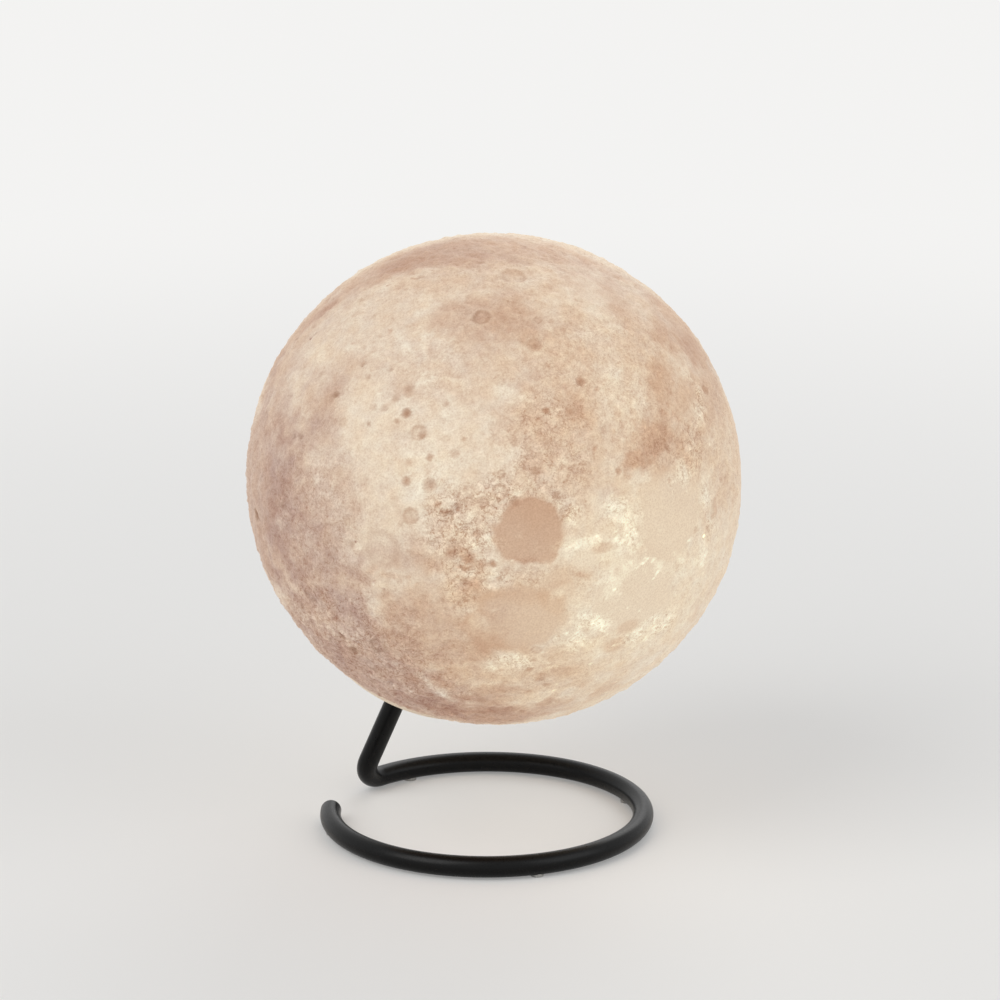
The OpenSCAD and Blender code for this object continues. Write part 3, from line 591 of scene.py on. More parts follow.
def lay_rays():
    """How bright the rays make each direction."""
    bright = np.zeros(len(outer_ways))
    fans = [(seen_at(x, y), reach / PIXELS_PER_RADIUS) for x, y, reach in FRONT_FANS]
    fans += [(on_map(lon, lat), math.radians(reach)) for lon, lat, reach in BACK_FANS]
    for number, (centre, reach) in enumerate(fans):
        across = centre.orthogonal().normalized()
        upward = centre.cross(across)
        cosine = outer_ways @ np.array(centre)
        near = np.nonzero(cosine > math.cos(min(reach, 1.4)))[0]
        t = np.arccos(np.clip(cosine[near], -1.0, 1.0)) / reach
        turn = np.arctan2(outer_ways[near] @ np.array(upward), outer_ways[near] @ np.array(across))
        spokes = np.array([spoke_noise(bearing, number) for bearing in turn])
        ray = np.clip(spokes * 2.2 + 0.15 * fine_edge[near], 0.0, 1.0)
        bright[near] += ray * (1.0 - t) * np.clip(t * 6.0, 0.0, 1.0)
    return bright


ray_bright = lay_rays()

# %% [markdown]
# ## Craters
# A crater is a bowl with a raised rim. Its profile is a short formula of the distance from its
# middle. The ones that show in the picture are listed one by one, the largest ones behind come
# from the map, and 2600 more are drawn at random with a fixed seed, many small and few large,
# as on the real moon. Of these, large ones are left out in front and all are faint on plains.

# %% Craters in the picture
# (x, y, radius in pixels, how dark the floor is, how dark the ring is)
FRONT_CRATERS = {
    "top": (
        (481, 317, 9, 0.10, 1.0), (535, 345, 8, 0.9, 0.3), (523, 341, 6, 0.5, 0.0), (513, 275, 12, 0.1, 0.6),
        (538, 319, 4, 0.1, 0.8), (397, 268, 2, 1.2, 0.1), (500, 380, 6, 0.2, 0.4), (560, 330, 6, 0.2, 0.3),
        (455, 345, 5, 0.2, 0.3), (508, 301, 2, 0.9, 0.0), (520, 312, 2, 0.9, 0.0), (469, 296, 3, 0.4, 0.2),
    ),
    "round the heart": (
        (407, 413, 5, 1.4, 0.4), (419, 433, 8, 0.1, 0.9), (421, 435, 4, 0.9, 0.2), (430, 458, 4, 0.9, 0.5),
        (407, 481, 5, 1.0, 0.3), (430, 485, 8, 0.8, 0.3), (411, 516, 8, 0.3, 0.8), (397, 421, 3, 0.8, 0.1),
        (369, 424, 3, 0.9, 0.1), (337, 395, 4, 1.0, 0.3), (363, 365, 3, 0.6, 0.1), (409, 391, 7, 0.7, 0.1),
        (396, 399, 5, 0.6, 0.1), (374, 408, 4, 0.5, 0.2), (385, 408, 4, 0.5, 0.2), (464, 439, 3, 0.8, 0.2),
        (428, 472, 2, 0.7, 0.0), (444, 421, 3, 0.3, 0.2), (340, 470, 6, 0.2, 0.3), (350, 520, 6, 0.2, 0.3),
    ),
    "beside the round plain": (
        (438, 504, 4, 0.9, 0.4), (444, 512, 4, 1.0, 0.4), (451, 512, 4, 1.0, 0.4), (458, 505, 4, 0.9, 0.3),
        (476, 534, 4, 0.8, 0.4), (493, 563, 4, 1.2, 0.3), (499, 578, 3, 0.9, 0.2), (455, 550, 8, 0.6, 0.4),
        (468, 560, 7, 0.6, 0.3), (460, 566, 3, 0.9, 0.2), (500, 492, 8, 0.1, 0.9), (514, 501, 5, 0.5, 0.5),
        (483, 502, 5, 0.3, 0.7), (556, 496, 4, 0.8, 0.5), (565, 511, 5, 0.3, 0.8), (536, 471, 4, 0.6, 0.3),
        (501, 474, 4, 0.2, 0.8), (594, 450, 3, 0.7, 0.2), (582, 464, 3, 0.6, 0.2), (514, 444, 3, 0.2, 0.6),
    ),
    "right": (
        (581, 381, 5, 1.2, 0.4), (546, 411, 4, 1.5, 0.3), (569, 412, 5, 0.7, 0.2), (597, 389, 3, 0.8, 0.2),
        (604, 430, 4, 0.5, 0.3), (705, 390, 6, 0.6, 0.6), (633, 412, 4, 0.4, 0.4), (610, 402, 3, 0.4, 0.3),
        (618, 471, 4, 1.0, 0.3), (622, 424, 3, 0.2, 0.5), (668, 448, 3, 0.8, 0.2), (548, 365, 3, 0.5, 0.2),
    ),
    "bottom": (
        (529, 668, 4, 0.8, 0.4), (539, 678, 4, 0.7, 0.6), (536, 649, 5, 0.2, 0.7), (533, 659, 3, 0.6, 0.3),
        (546, 684, 3, 0.6, 0.3), (598, 583, 4, 0.1, 0.3), (450, 640, 3, 0.3, 0.2), (502, 668, 3, 0.5, 0.3),
    ),
    "left": (
        (258, 514, 7, 1.3, 0.3), (308, 593, 5, 0.7, 0.5), (343, 635, 5, 0.9, 0.5), (355, 649, 6, 1.0, 0.5),
        (378, 645, 9, 0.1, 0.8), (370, 634, 2, 1.0, 0.0), (373, 669, 4, 0.5, 0.6), (330, 560, 7, 0.1, 0.3),
        (383, 549, 19, 0.0, 0.3), (315, 600, 4, 0.4, 0.4), (262, 530, 3, 0.6, 0.1), (390, 668, 3, 0.4, 0.2),
    ),
}
# (longitude, latitude, radius in degrees, how dark the ring is)
BACK_CRATERS = (
    (-11, -43, 1.9, 1.2), (-20, 10, 2.0, 1.0), (-38, 8, 1.1, 1.0), (-47, 24, 1.0, 1.2),
    (-9, 52, 2.0, 0.6), (-14, -58, 4.0, 0.7), (-2, -9, 3.2, 0.5), (-3, -14, 2.2, 0.6),
    (-68, -5, 3.4, 0.5), (-40, -18, 2.2, 0.5), (-93, -19, 12.0, 0.4), (-93, -19, 7.5, 0.4),
    (61, -9, 2.6, 0.9), (60, -25, 3.6, 0.7), (26, -12, 2.0, 0.9), (24, -18, 2.0, 0.7),
    (-55, -44, 4.4, 0.4), (129, -20, 3.4, 0.9), (148, 27, 7.0, 0.4), (164, -36, 5.5, 0.5),
    (-157, 0, 8.0, 0.3), (-167, -3, 5.0, 0.4), (104, 36, 1.2, 1.1), (-129, 6, 7.0, 0.3),
    (172, 25, 3.0, 0.8), (143, -60, 5.0, 0.5), (-170, -30, 4.0, 0.6), (-120, -35, 3.0, 0.7),
    (122, 46, 3.5, 0.6), (-100, 36, 3.4, 0.6), (160, 55, 4.0, 0.5), (-140, 40, 3.6, 0.6),
)

# %% Random craters
RANDOM_CRATERS = 2600
LEAST_CRATER, SMALL_CRATER, LARGEST_CRATER = 0.009, 0.020, 0.060
SIZE_POWER = -1.9
# A crater of the map, and a large random one, is kept where it faces the camera by less
MAP_FACING, RANDOM_FACING = 0.12, 0.1
dice = np.random.default_rng(11)


def draw_craters(count):
    """Directions and radii of random craters, with far more small ones than large ones."""
    ways = dice.normal(size=(count, 3))
    ways /= np.linalg.norm(ways, axis=1)[:, None]
    many, few = LEAST_CRATER ** SIZE_POWER, LARGEST_CRATER ** SIZE_POWER
    radii = (many + dice.random(count) * (few - many)) ** (1 / SIZE_POWER)
    return zip(ways, radii, 0.6 * dice.random(count) ** 4, 0.05 + 0.30 * dice.random(count) ** 2)


def crater_list():
    """All craters as (direction, radius, dark floor, dark ring, listed rather than random)."""
    to_camera = np.array((CAMERA_PLACE - moon_centre).normalized())
    found = []
    for group in FRONT_CRATERS.values():
        for x, y, radius, floor_dark, ring_dark in group:
            radius /= PIXELS_PER_RADIUS
            found.append((np.array(seen_at(x, y)), radius, floor_dark, ring_dark, True))
    for lon, lat, radius, ring_dark in BACK_CRATERS:
        way = np.array(on_map(lon, lat))
        if way @ to_camera < MAP_FACING:
            found.append((way, math.radians(radius), 0.3 * ring_dark, ring_dark, True))
    for way, radius, floor_dark, ring_dark in draw_craters(RANDOM_CRATERS):
        if radius < SMALL_CRATER or way @ to_camera < RANDOM_FACING:
            found.append((way, radius, floor_dark, ring_dark, False))
    return found


# %% Press the craters
DEPTH_SHARE, DEEPEST, RIM_SHARE = 0.14, 0.5, 0.45


def press_craters(ways):
    """Height in mm that the craters add, how dark and brown they are, and how bright their rims."""
    height, dark, bright = (np.zeros(len(ways)) for _ in range(3))
    for centre, radius, floor_dark, ring_dark, placed in crater_list():
        cosine = ways @ centre
        near = np.nonzero(cosine > math.cos(1.8 * radius))[0]
        if not len(near):
            continue
        t = np.arccos(np.clip(cosine[near], -1.0, 1.0)) / radius
        t = t * (1.0 + 0.16 * edge_noise[near])
        bowl = np.clip(1.0 - t ** 3, 0.0, 1.0) * (t < 1.0)
        rim = np.exp(-((t - 1.12) / 0.20) ** 2)
        wall = np.exp(-((t - 0.85) / 0.22) ** 2)
        weight = 1.0 if placed else 1.0 - 0.9 * moon_smooth[near]
        strong = max(floor_dark, ring_dark)
        depth = weight * (0.4 + 0.6 * strong) * min(DEPTH_SHARE * radius * moon_radius / MM, DEEPEST)
        height[near] += depth * (RIM_SHARE * rim - bowl)
        dark[near] += weight * (floor_dark * np.clip(1.25 - 1.1 * t, 0.0, 1.0) + ring_dark * wall * 0.7)
        bright[near] += weight * rim * (0.3 + 0.5 * strong)
    return height, np.clip(dark, 0.0, 1.4), np.clip(bright, 0.0, 1.2)


crater_height, crater_dark, crater_bright = press_craters(outer_ways)
print("deepest crater in mm:", round(float(-crater_height.min()), 2))

# %% [markdown]
# ## Shape of the moon
# The print is a little flatter along the rod's line than across it. The rest of the relief is
# noise: long waves for the broad highlands and short ones for the grain, both weak on plains.
# Near the mouth all of it fades to the true sphere, so that the shade meets its collar.

# %% Radius at each point
ACROSS, ALONG = 75.55 * MM, 74.45 * MM
FADE_START, FADE_END = math.radians(24.5), math.radians(31.0)
# Heights in mm
HILLS, GRAIN, RUGGED_GRAIN, FINE_GRAIN, PLAIN_SINK = 0.16, 0.46, 0.20, 0.16, 0.12

axis_share = outer_ways @ np.array(rod_way)
spheroid = 1.0 / np.sqrt((axis_share / ALONG) ** 2 + (1.0 - axis_share ** 2) / ACROSS ** 2)
mouth_turn = np.arccos(np.clip(-axis_share, -1.0, 1.0))
fade = np.clip((mouth_turn - FADE_START) / (FADE_END - FADE_START), 0.0, 1.0)
fade = fade * fade * (3.0 - 2.0 * fade)
hill_noise = rough(outer_ways, 5.0, 4, 7.7)
grain_noise = rough(outer_ways, 26.0, 3, 1.3)
bare = 1.0 - 0.9 * moon_smooth
moon_rugged = np.clip(np.maximum(moon_rugged, mark_rugged), 0.0, 1.0)
relief = HILLS * hill_noise + FINE_GRAIN * fine_edge * bare
relief += (GRAIN + RUGGED_GRAIN * moon_rugged) * grain_noise * bare
relief += crater_height - PLAIN_SINK * moon_smooth
outer_radius = moon_radius + fade * (spheroid - moon_radius + relief * MM)
print("relief in mm:", round(float(relief.min()), 2), "to", round(float(relief.max()), 2))

# %% [markdown]
# ## Colour of the moon
# The glow comes through the wall, so thick places are darker and warmer: a shade takes more
# green and blue away than red, in the print's own tone and in the painted shade of the patches.
# The paint below is worked out at each vertex from the patches, the craters and the relief, and
# the material later adds the grain that is finer than the grid.

# %% Paint
CREAM = np.array(shade_of(229, 211, 188))
BROWN = np.array(shade_of(172, 128, 98))
TAN_TINT = np.array((-0.24, -0.46, -0.60))
SHADE_TINT = np.array((0.70, 1.00, 0.97))
LEAST_TAN, MOST_TAN = -0.4, 1.3
tone_noise = rough(outer_ways, 12.0, 4, 5.5)
moon_shade += 0.03 + 0.06 * hill_noise * bare + 0.05 * crater_bright - 0.06 * crater_dark
flecks = np.clip(2.6 * tone_noise, -1.0, 1.0) * bare
moon_shade += (0.06 + 0.14 * moon_rugged) * grain_noise * bare + 0.035 * flecks
moon_shade += mark_shade + 0.11 * ray_bright
moon_tan += 0.12 + (0.24 * tone_noise + 0.10 * hill_noise) * bare + 0.05 * flecks - 0.12 * crater_bright
moon_tan += mark_tan - 0.10 * ray_bright
moon_tan = np.clip(moon_tan, LEAST_TAN, MOST_TAN)
# moon_shade holds the print's tone together with the painted shade at the lower left and along the edge
moon_paint = CREAM * np.exp(moon_shade[:, None] * SHADE_TINT + moon_tan[:, None] * TAN_TINT)
crater_brown = BROWN * np.clip(np.exp(moon_shade), 0.5, 1.1)[:, None]
moon_paint += (crater_brown - moon_paint) * np.clip(0.75 * crater_dark, 0.0, 0.9)[:, None]
print("mean paint:", [round(float(v), 3) for v in moon_paint.mean(0)])

# %% [markdown]
# ## The moon's mesh
# The shade is one closed skin: relief outside, plain inside and a narrow rim round the mouth.
# The mesh also gets a flat map of itself, as a globe has: turn runs across and height runs up.
# A program that turns the finish into a picture can use that map instead of guessing one.

# %% Build the moon
INNER_COLUMNS, INNER_ROWS = 112, 50


def ring_faces(columns, rows, first, outward):
    """Quads between rows of points, which start at point number first."""
    row = np.arange(rows - 1)[:, None] * columns + first
    here = np.arange(columns)[None, :]
    after = (here + 1) % columns
    corners = (row + here, row + after, row + columns + after, row + columns + here)
    quads = np.stack(corners, -1).reshape(-1, 4)
    return (quads if outward else quads[:, ::-1]).tolist()


def pole_fan(columns, first_of_row, pole, outward):
    """Triangles from a row of points to the pole."""
    fan = [(first_of_row + i, first_of_row + (i + 1) % columns, pole) for i in range(columns)]
    return fan if outward else [face[::-1] for face in fan]


def build_moon():
    """The shade as one closed mesh: relief outside, plain inside and a rim at the mouth."""
    outer = outer_ways * outer_radius[:, None]
    inner_radius = moon_radius - WALL
    inner = grid_directions(INNER_COLUMNS, INNER_ROWS, inner_radius).reshape(-1, 3) * inner_radius
    poles = np.array([rod_way]) * np.array([[outer_radius[-1]], [inner_radius]])
    points = np.concatenate([outer, inner, poles]) + np.array(moon_centre)
    inner_first, pole_first = len(outer), len(outer) + len(inner)
    faces = ring_faces(COLUMNS, ROWS, 0, True)
    faces += pole_fan(COLUMNS, COLUMNS * (ROWS - 1), pole_first, True)
    faces += ring_faces(INNER_COLUMNS, INNER_ROWS, inner_first, False)
    last_row = inner_first + INNER_COLUMNS * (INNER_ROWS - 1)
    faces += pole_fan(INNER_COLUMNS, last_row, pole_first + 1, False)
    step = COLUMNS // INNER_COLUMNS
    for i in range(INNER_COLUMNS):
        low, high = i * step, (i + 1) % INNER_COLUMNS * step
        rim = [(low + k) % COLUMNS for k in range(step + 1)]
        faces.append([inner_first + i, inner_first + (i + 1) % INNER_COLUMNS] + rim[::-1])
    mesh = bpy.data.meshes.new("moon")
    mesh.from_pydata(points.tolist(), [], faces)
    mesh.validate()
    return mesh, len(points)


def sheet_map(columns, rows, low, high, outward):
    """Flat places for the corners of a grid's quads and of the fan that closes it."""
    across, up = np.meshgrid(np.arange(columns) / columns, np.linspace(low, high, rows)[:-1])
    right, rise = across + 1.0 / columns, (high - low) / (rows - 1)
    corners = [across, up, right, up, right, up + rise, across, up + rise]
    corners = np.stack(corners, -1).reshape(-1, 4, 2)
    side = np.arange(columns) / columns
    top = np.full(columns, high)
    fan = [side, top, side + 1.0 / columns, top, side + 0.5 / columns, top + rise]
    fan = np.stack(fan, -1).reshape(-1, 3, 2)
    if not outward:
        corners, fan = corners[:, ::-1], fan[:, ::-1]
    return np.concatenate([corners.reshape(-1, 2), fan.reshape(-1, 2)])


def map_moon(mesh):
    """Adds the flat map: the outside in its lower nine tenths, then the rim and the inside."""
    outer_map = sheet_map(COLUMNS, ROWS, 0.005, 0.90, True)
    inner_map = sheet_map(INNER_COLUMNS, INNER_ROWS, 0.93, 0.99, False)
    step = COLUMNS // INNER_COLUMNS
    rim_map = []
    for i in range(INNER_COLUMNS):
        rim_map += [(i / INNER_COLUMNS, 0.92), ((i + 1) / INNER_COLUMNS, 0.92)]
        rim_map += [((i * step + k) / COLUMNS, 0.91) for k in range(step, -1, -1)]
    layer = mesh.uv_layers.new(name="OFBake")
    corners = np.concatenate([outer_map, inner_map, np.array(rim_map)])
    layer.data.foreach_set("uv", corners.ravel())


moon_mesh, moon_points = build_moon()
map_moon(moon_mesh)
paint_layer = moon_mesh.attributes.new("paint", "FLOAT_COLOR", "POINT")
paint_values = np.ones((moon_points, 4), np.float32)
paint_values[:, :3] = CREAM
paint_values[: len(moon_paint), :3] = moon_paint
paint_layer.data.foreach_set("color", paint_values.ravel())
for layer_name, values in (("even", moon_smooth), ("rugged", moon_rugged)):
    layer_values = np.full(moon_points, 1.0 if layer_name == "even" else 0.0, np.float32)
    layer_values[: len(values)] = np.clip(values, 0.0, 1.0)
    moon_mesh.attributes.new(layer_name, "FLOAT", "POINT").data.foreach_set("value", layer_values)
moon_mesh.polygons.foreach_set("use_smooth", np.ones(len(moon_mesh.polygons), bool))
moon = bpy.data.objects.new("moon", moon_mesh)
bpy.context.scene.collection.objects.link(moon)
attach(moon, "moon")
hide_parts("moon_shell")
print("moon faces:", len(moon_mesh.polygons))

# %% [markdown]
# ## The moon's finish
# Printed resin has a matt skin with a fine grain. The material reads the paint from the mesh
# and breaks it up with four noises: a very fine grain everywhere, specks and soft lumps on
# open ground, and on rugged ground thin dark creases with bright lumps between them. Part of
# the colour goes to the surface and part is given off as light, since the lamp is on.

# %% Moon noises
moon_finish, moon_tree, moon_shader = new_finish("moon_print")
moon_place = put(moon_tree, "TexCoord").outputs["Object"]
paint = put(moon_tree, "Attribute", attribute_name="paint").outputs["Color"]
even = put(moon_tree, "Attribute", attribute_name="even").outputs["Fac"]
rugged = put(moon_tree, "Attribute", attribute_name="rugged").outputs["Fac"]


def moon_noise(grain_mm, detail, roughness, swirl=0.0):
    """Fractal noise about 0, whose largest lumps are about grain_mm wide."""
    node = put(moon_tree, "TexNoise", Scale=1.0 / (grain_mm * MM), Detail=detail,
               Roughness=roughness, Distortion=swirl)
    moon_tree.links.new(moon_place, node.inputs["Vector"])
    return calc(moon_tree, "SUBTRACT", node.outputs["Fac"], 0.5)


# %% Moon grain
fine = moon_noise(0.5, 1.0, 0.5)
specks = moon_noise(1.1, 2.0, 0.6)
lumps = moon_noise(2.6, 4.0, 0.6)
curls = moon_noise(3.4, 5.0, 0.62, 0.6)
open_ground = calc(moon_tree, "SUBTRACT", 1.0, calc(moon_tree, "MULTIPLY", even, 0.8))
folds = calc(moon_tree, "ABSOLUTE", curls, 0.0)
creases = ramp(moon_tree, folds, [(0.0, 1.0), (0.010, 0.8), (0.028, 0.0)])
bright_lumps = ramp(moon_tree, lumps, [(0.04, 0.0), (0.16, 1.0)])


def weighted(*pairs):
    """The sum of some values, each times its weight."""
    total = 0.0
    for value, weight in pairs:
        total = calc(moon_tree, "ADD", calc(moon_tree, "MULTIPLY", value, weight), total)
    return total


grain = weighted((specks, 0.30), (lumps, 0.16))
rough_part = weighted((creases, -0.36), (bright_lumps, 0.16), (specks, 0.50), (fine, 0.3))
grain = calc(moon_tree, "MULTIPLY", grain, open_ground)
grain = calc(moon_tree, "ADD", grain, calc(moon_tree, "MULTIPLY", rough_part, rugged))
grain = weighted((fine, 0.42), (grain, 1.0), (1.0, 1.0))

# %% Moon colours
GLOW, SURFACE_SHARE, PRINT_ROUGHNESS, GRAIN_DEPTH = 0.62, 0.42, 0.62, 0.35
DARK_GRAIN, BRIGHT_GRAIN = (0.33, 0.245, 0.205), (0.66, 0.68, 0.69)
# Grain is 1 on average. A ramp ends at 1, so it reads half of it and the colour is doubled.
half_grain = calc(moon_tree, "MULTIPLY", grain, 0.5)
warm_grain = ramp(moon_tree, half_grain, [(0.28, DARK_GRAIN), (0.5, 0.5), (0.68, BRIGHT_GRAIN)])


def tinted(first, second):
    """A colour times a second one, each a node's output or a fixed grey."""
    mix = put(moon_tree, "MixRGB", blend_type="MULTIPLY", Fac=1.0)
    for value, socket in ((first, "Color1"), (second, "Color2")):
        if hasattr(value, "is_linked"):
            moon_tree.links.new(value, mix.inputs[socket])
        else:
            mix.inputs[socket].default_value = (value, value, value, 1.0)
    return mix.outputs["Color"]


printed = tinted(tinted(paint, warm_grain), 2.0)
moon_tree.links.new(tinted(printed, SURFACE_SHARE), moon_shader.inputs["Base Color"])
moon_tree.links.new(printed, moon_shader.inputs["Emission Color"])
moon_shader.inputs["Emission Strength"].default_value = GLOW
moon_shader.inputs["Roughness"].default_value = PRINT_ROUGHNESS
bump(moon_tree, half_grain, moon_shader, GRAIN_DEPTH)
moon_mesh.materials.append(moon_finish)

# %% [markdown]
# ## The steel rod
# The rod is steel wire with a black powder coat: deep black, with soft highlights and a very
# fine orange-peel skin. The CAD rod already has the right shape, so it stays and only takes
# the finish. Noise moves the roughness and the bump a little, and never the shape.

# %% Finish for plain pieces
def plain_finish(name, dark, light, rough_from, rough_to, grain_mm, depth_mm, **sockets):
    """A finish between two close colours, with a fine grain that also moves the gloss.

    Colours with numbers above 1 are screen colours, in steps of 0 to 255."""
    material, tree, shader = new_finish(name)
    if max(light) > 1.0:
        dark, light = shade_of(*dark), shade_of(*light)
    place = put(tree, "TexCoord").outputs["Object"]
    mottle = put(tree, "TexNoise", Scale=0.12 / (grain_mm * MM), Detail=3.0)
    skin = put(tree, "TexNoise", Scale=1.0 / (grain_mm * MM), Detail=2.0)
    for node in (mottle, skin):
        tree.links.new(place, node.inputs["Vector"])
    colour = ramp(tree, mottle.outputs["Fac"], [(0.35, dark), (0.65, light)])
    gloss = ramp(tree, skin.outputs["Fac"], [(0.3, rough_from), (0.7, rough_to)])
    tree.links.new(colour, shader.inputs["Base Color"])
    tree.links.new(gloss, shader.inputs["Roughness"])
    bump(tree, skin.outputs["Fac"], shader, depth_mm)
    for socket, value in sockets.items():
        shader.inputs[socket.replace("_", " ")].default_value = value
    return material


def dress(node, material):
    """Gives a CAD node this finish."""
    slots = frame["nodes"][node].data.materials
    slots.clear()
    slots.append(material)


black_coat = plain_finish("black_powder_coat", (6, 6, 7), (11, 11, 12), 0.26, 0.36, 0.5, 0.012,
                          Specular_IOR_Level=0.18)
dress("stand_rod", black_coat)

# %% Finishes for the other pieces
def lit(red, green, blue, strength):
    """The sockets that make a finish give off light."""
    return {"Emission_Color": (red, green, blue, 1.0), "Emission_Strength": strength}


def clear(share):
    """The socket that lets light through."""
    return {"Transmission_Weight": share}


METAL = {"Metallic": 1.0}
# (name, two colours, least and most roughness, grain and its depth in mm, other sockets)
FINISH_ROWS = (
    ("clear_silicone", (205, 203, 199), (216, 214, 210), 0.4, 0.55, 0.4, 0.01, clear(0.5)),
    ("nylon", (214, 209, 197), (224, 220, 209), 0.42, 0.55, 0.4, 0.01, {}),
    # Painted glow: the collar and the cap give off a faint light of their own, which stands in for the
    # lamp's light shining through their plastic
    ("shade_plastic", (226, 213, 194), (233, 222, 204), 0.45, 0.58, 0.5, 0.02, lit(1.0, 0.72, 0.50, 0.14)),
    ("cap_plastic", (218, 207, 190), (226, 216, 200), 0.5, 0.62, 0.35, 0.03, lit(1.0, 0.76, 0.56, 0.07)),
    ("bright_steel", (0.55, 0.55, 0.56), (0.62, 0.62, 0.63), 0.22, 0.34, 0.3, 0.005, METAL),
    ("brass", (0.62, 0.47, 0.20), (0.70, 0.54, 0.26), 0.22, 0.34, 0.4, 0.006, METAL),
    ("aluminium", (0.60, 0.61, 0.62), (0.68, 0.69, 0.70), 0.3, 0.42, 0.5, 0.008, METAL),
    ("button_grey", (150, 150, 152), (162, 162, 163), 0.35, 0.45, 0.35, 0.015, {}),
    ("black_plastic", (26, 26, 28), (36, 36, 38), 0.4, 0.52, 0.4, 0.015, {}),
    ("board_green", (0.010, 0.085, 0.045), (0.016, 0.11, 0.058), 0.25, 0.35, 0.8, 0.01, {}),
    ("board_white", (232, 232, 230), (240, 240, 238), 0.35, 0.45, 0.6, 0.01, {}),
    ("cell_wrap", (170, 176, 182), (186, 191, 196), 0.25, 0.38, 1.2, 0.03, {"Metallic": 0.6}),
    ("foam", (46, 46, 50), (62, 62, 66), 0.9, 1.0, 0.5, 0.12, {}),
    ("opal", (240, 238, 230), (246, 244, 238), 0.35, 0.45, 0.6, 0.01, clear(0.3)),
    ("red_lead", (176, 34, 26), (194, 44, 34), 0.4, 0.5, 0.4, 0.02, {}),
    ("pale_lead", (214, 208, 192), (226, 221, 207), 0.4, 0.5, 0.4, 0.02, {}),
    ("amber_film", (196, 150, 44), (210, 166, 58), 0.3, 0.4, 0.5, 0.01, {}),
    ("phosphor", (0.90, 0.62, 0.10), (0.95, 0.70, 0.16), 0.3, 0.4, 0.4, 0.01, lit(1.0, 0.72, 0.34, 0.7)),
    ("status_light", (0.8, 0.12, 0.05), (0.9, 0.18, 0.08), 0.2, 0.3, 0.3, 0.005, {}),
    ("ceramic", (150, 118, 88), (166, 134, 102), 0.4, 0.5, 0.4, 0.01, {}),
    ("clear_pipe", (225, 232, 235), (236, 241, 243), 0.1, 0.2, 0.6, 0.004, clear(0.8)),
)
FINISHES = {name: plain_finish(name, *looks, **sockets) for name, *looks, sockets in FINISH_ROWS}
NODE_FINISH = {
    "foot_pads": "clear_silicone", "swivel_bush": "nylon", "mouth_collar": "shade_plastic",
    "base_cap": "cap_plastic", "rod_sleeve": "brass", "control_board": "board_green",
    "lead_sockets": "nylon", "housing": "board_white", "heat_plate": "aluminium",
    "led_board": "board_white", "led_dome": "opal",
}
for node, finish in NODE_FINISH.items():
    dress(node, FINISHES[finish])
print("CAD nodes with a new finish:", len(NODE_FINISH) + 1)

# %% [markdown]
# ## Tools for the small pieces
# The cap and the module inside are full of small parts. Their CAD solids have the right size,
# but a real screw has a recess, a real button has a soft edge and a real chip has legs. One
# tool is enough for nearly all of them: it joins closed loops of points, one after the other,
# and closes both ends. A turned piece is a stack of circles, a moulded block is a stack of
# rounded rectangles, and a wire is a row of circles along a path. Everything is drawn in
# millimetres about the rod's line, with the middle of the cap's face as the origin, and one
# matrix carries it to its place.

# %% The cap's own frame
GLUE_FILM, LIP = 0.1 * MM, 0.8 * MM
face_depth = math.sqrt((moon_radius + GLUE_FILM) ** 2 - MOUTH_RADIUS ** 2) + LIP
lean = Matrix.Rotation(math.acos(rod_way.z), 4, "Y")
turn_and_lean = Matrix.Rotation(math.atan2(rod_way.y, rod_way.x), 4, "Z") @ lean
down_to_face = Matrix.Translation((0.0, 0.0, -face_depth))
cap_frame = Matrix.Translation(moon_centre) @ turn_and_lean @ down_to_face @ Matrix.Scale(MM, 4)
print("cap face, mm below the moon's centre:", round(face_depth / MM, 2))


# %% Loops of points
def circle(radius, height, at=(0.0, 0.0), sides=32):
    """A round loop at this height."""
    turns = [2 * math.pi * i / sides for i in range(sides)]
    return [(at[0] + radius * math.cos(t), at[1] + radius * math.sin(t), height) for t in turns]


def slab(size, corner, inset, height, at=(0.0, 0.0), turn=0.0, steps=4):
    """A rectangle with round corners, drawn in by inset and turned about the rod's line."""
    radius = max(corner - inset, 0.02)
    half = [side / 2 - inset - radius for side in size[:2]]
    level, slope = math.cos(turn), math.sin(turn)
    loop = []
    for quarter, (right, up) in enumerate(((1, 1), (-1, 1), (-1, -1), (1, -1))):
        for i in range(steps + 1):
            bend = math.pi / 2 * (quarter + i / steps)
            x = at[0] + right * half[0] + radius * math.cos(bend)
            y = at[1] + up * half[1] + radius * math.sin(bend)
            loop.append((x * level - y * slope, x * slope + y * level, height))
    return loop


# %% Join the loops
def loft(shape, loops, finish=0, lid=None):
    """Joins loops of points, each with the next, and closes both ends. The lid is the last end."""
    rows = [[shape.verts.new(point) for point in loop] for loop in loops]
    faces = [shape.faces.new(rows[0][::-1])]
    for low, high in zip(rows, rows[1:]):
        for i in range(len(low)):
            after = (i + 1) % len(low)
            faces.append(shape.faces.new((low[i], low[after], high[after], high[i])))
    for face in faces:
        face.material_index = finish
    shape.faces.new(rows[-1]).material_index = finish if lid is None else lid


def turned(shape, profile, at=(0.0, 0.0), sides=32, finish=0):
    """A turned piece from a profile of (radius, height)."""
    loft(shape, [circle(radius, height, at, sides) for radius, height in profile], finish)


def soft_block(shape, size, low, at=(0.0, 0.0), edge=0.1, corner=0.2, turn=0.0, finish=0):
    """A block with rounded edges and corners, whose underside is at height low."""
    foot = [(edge, 0.0), (0.3 * edge, 0.3 * edge), (0.0, edge)]
    steps = foot + [(inset, size[2] - rise) for inset, rise in foot[::-1]]
    loft(shape, [slab(size, corner, inset, low + rise, at, turn) for inset, rise in steps], finish)


# %% Finish a small piece
SHARP = math.radians(38)


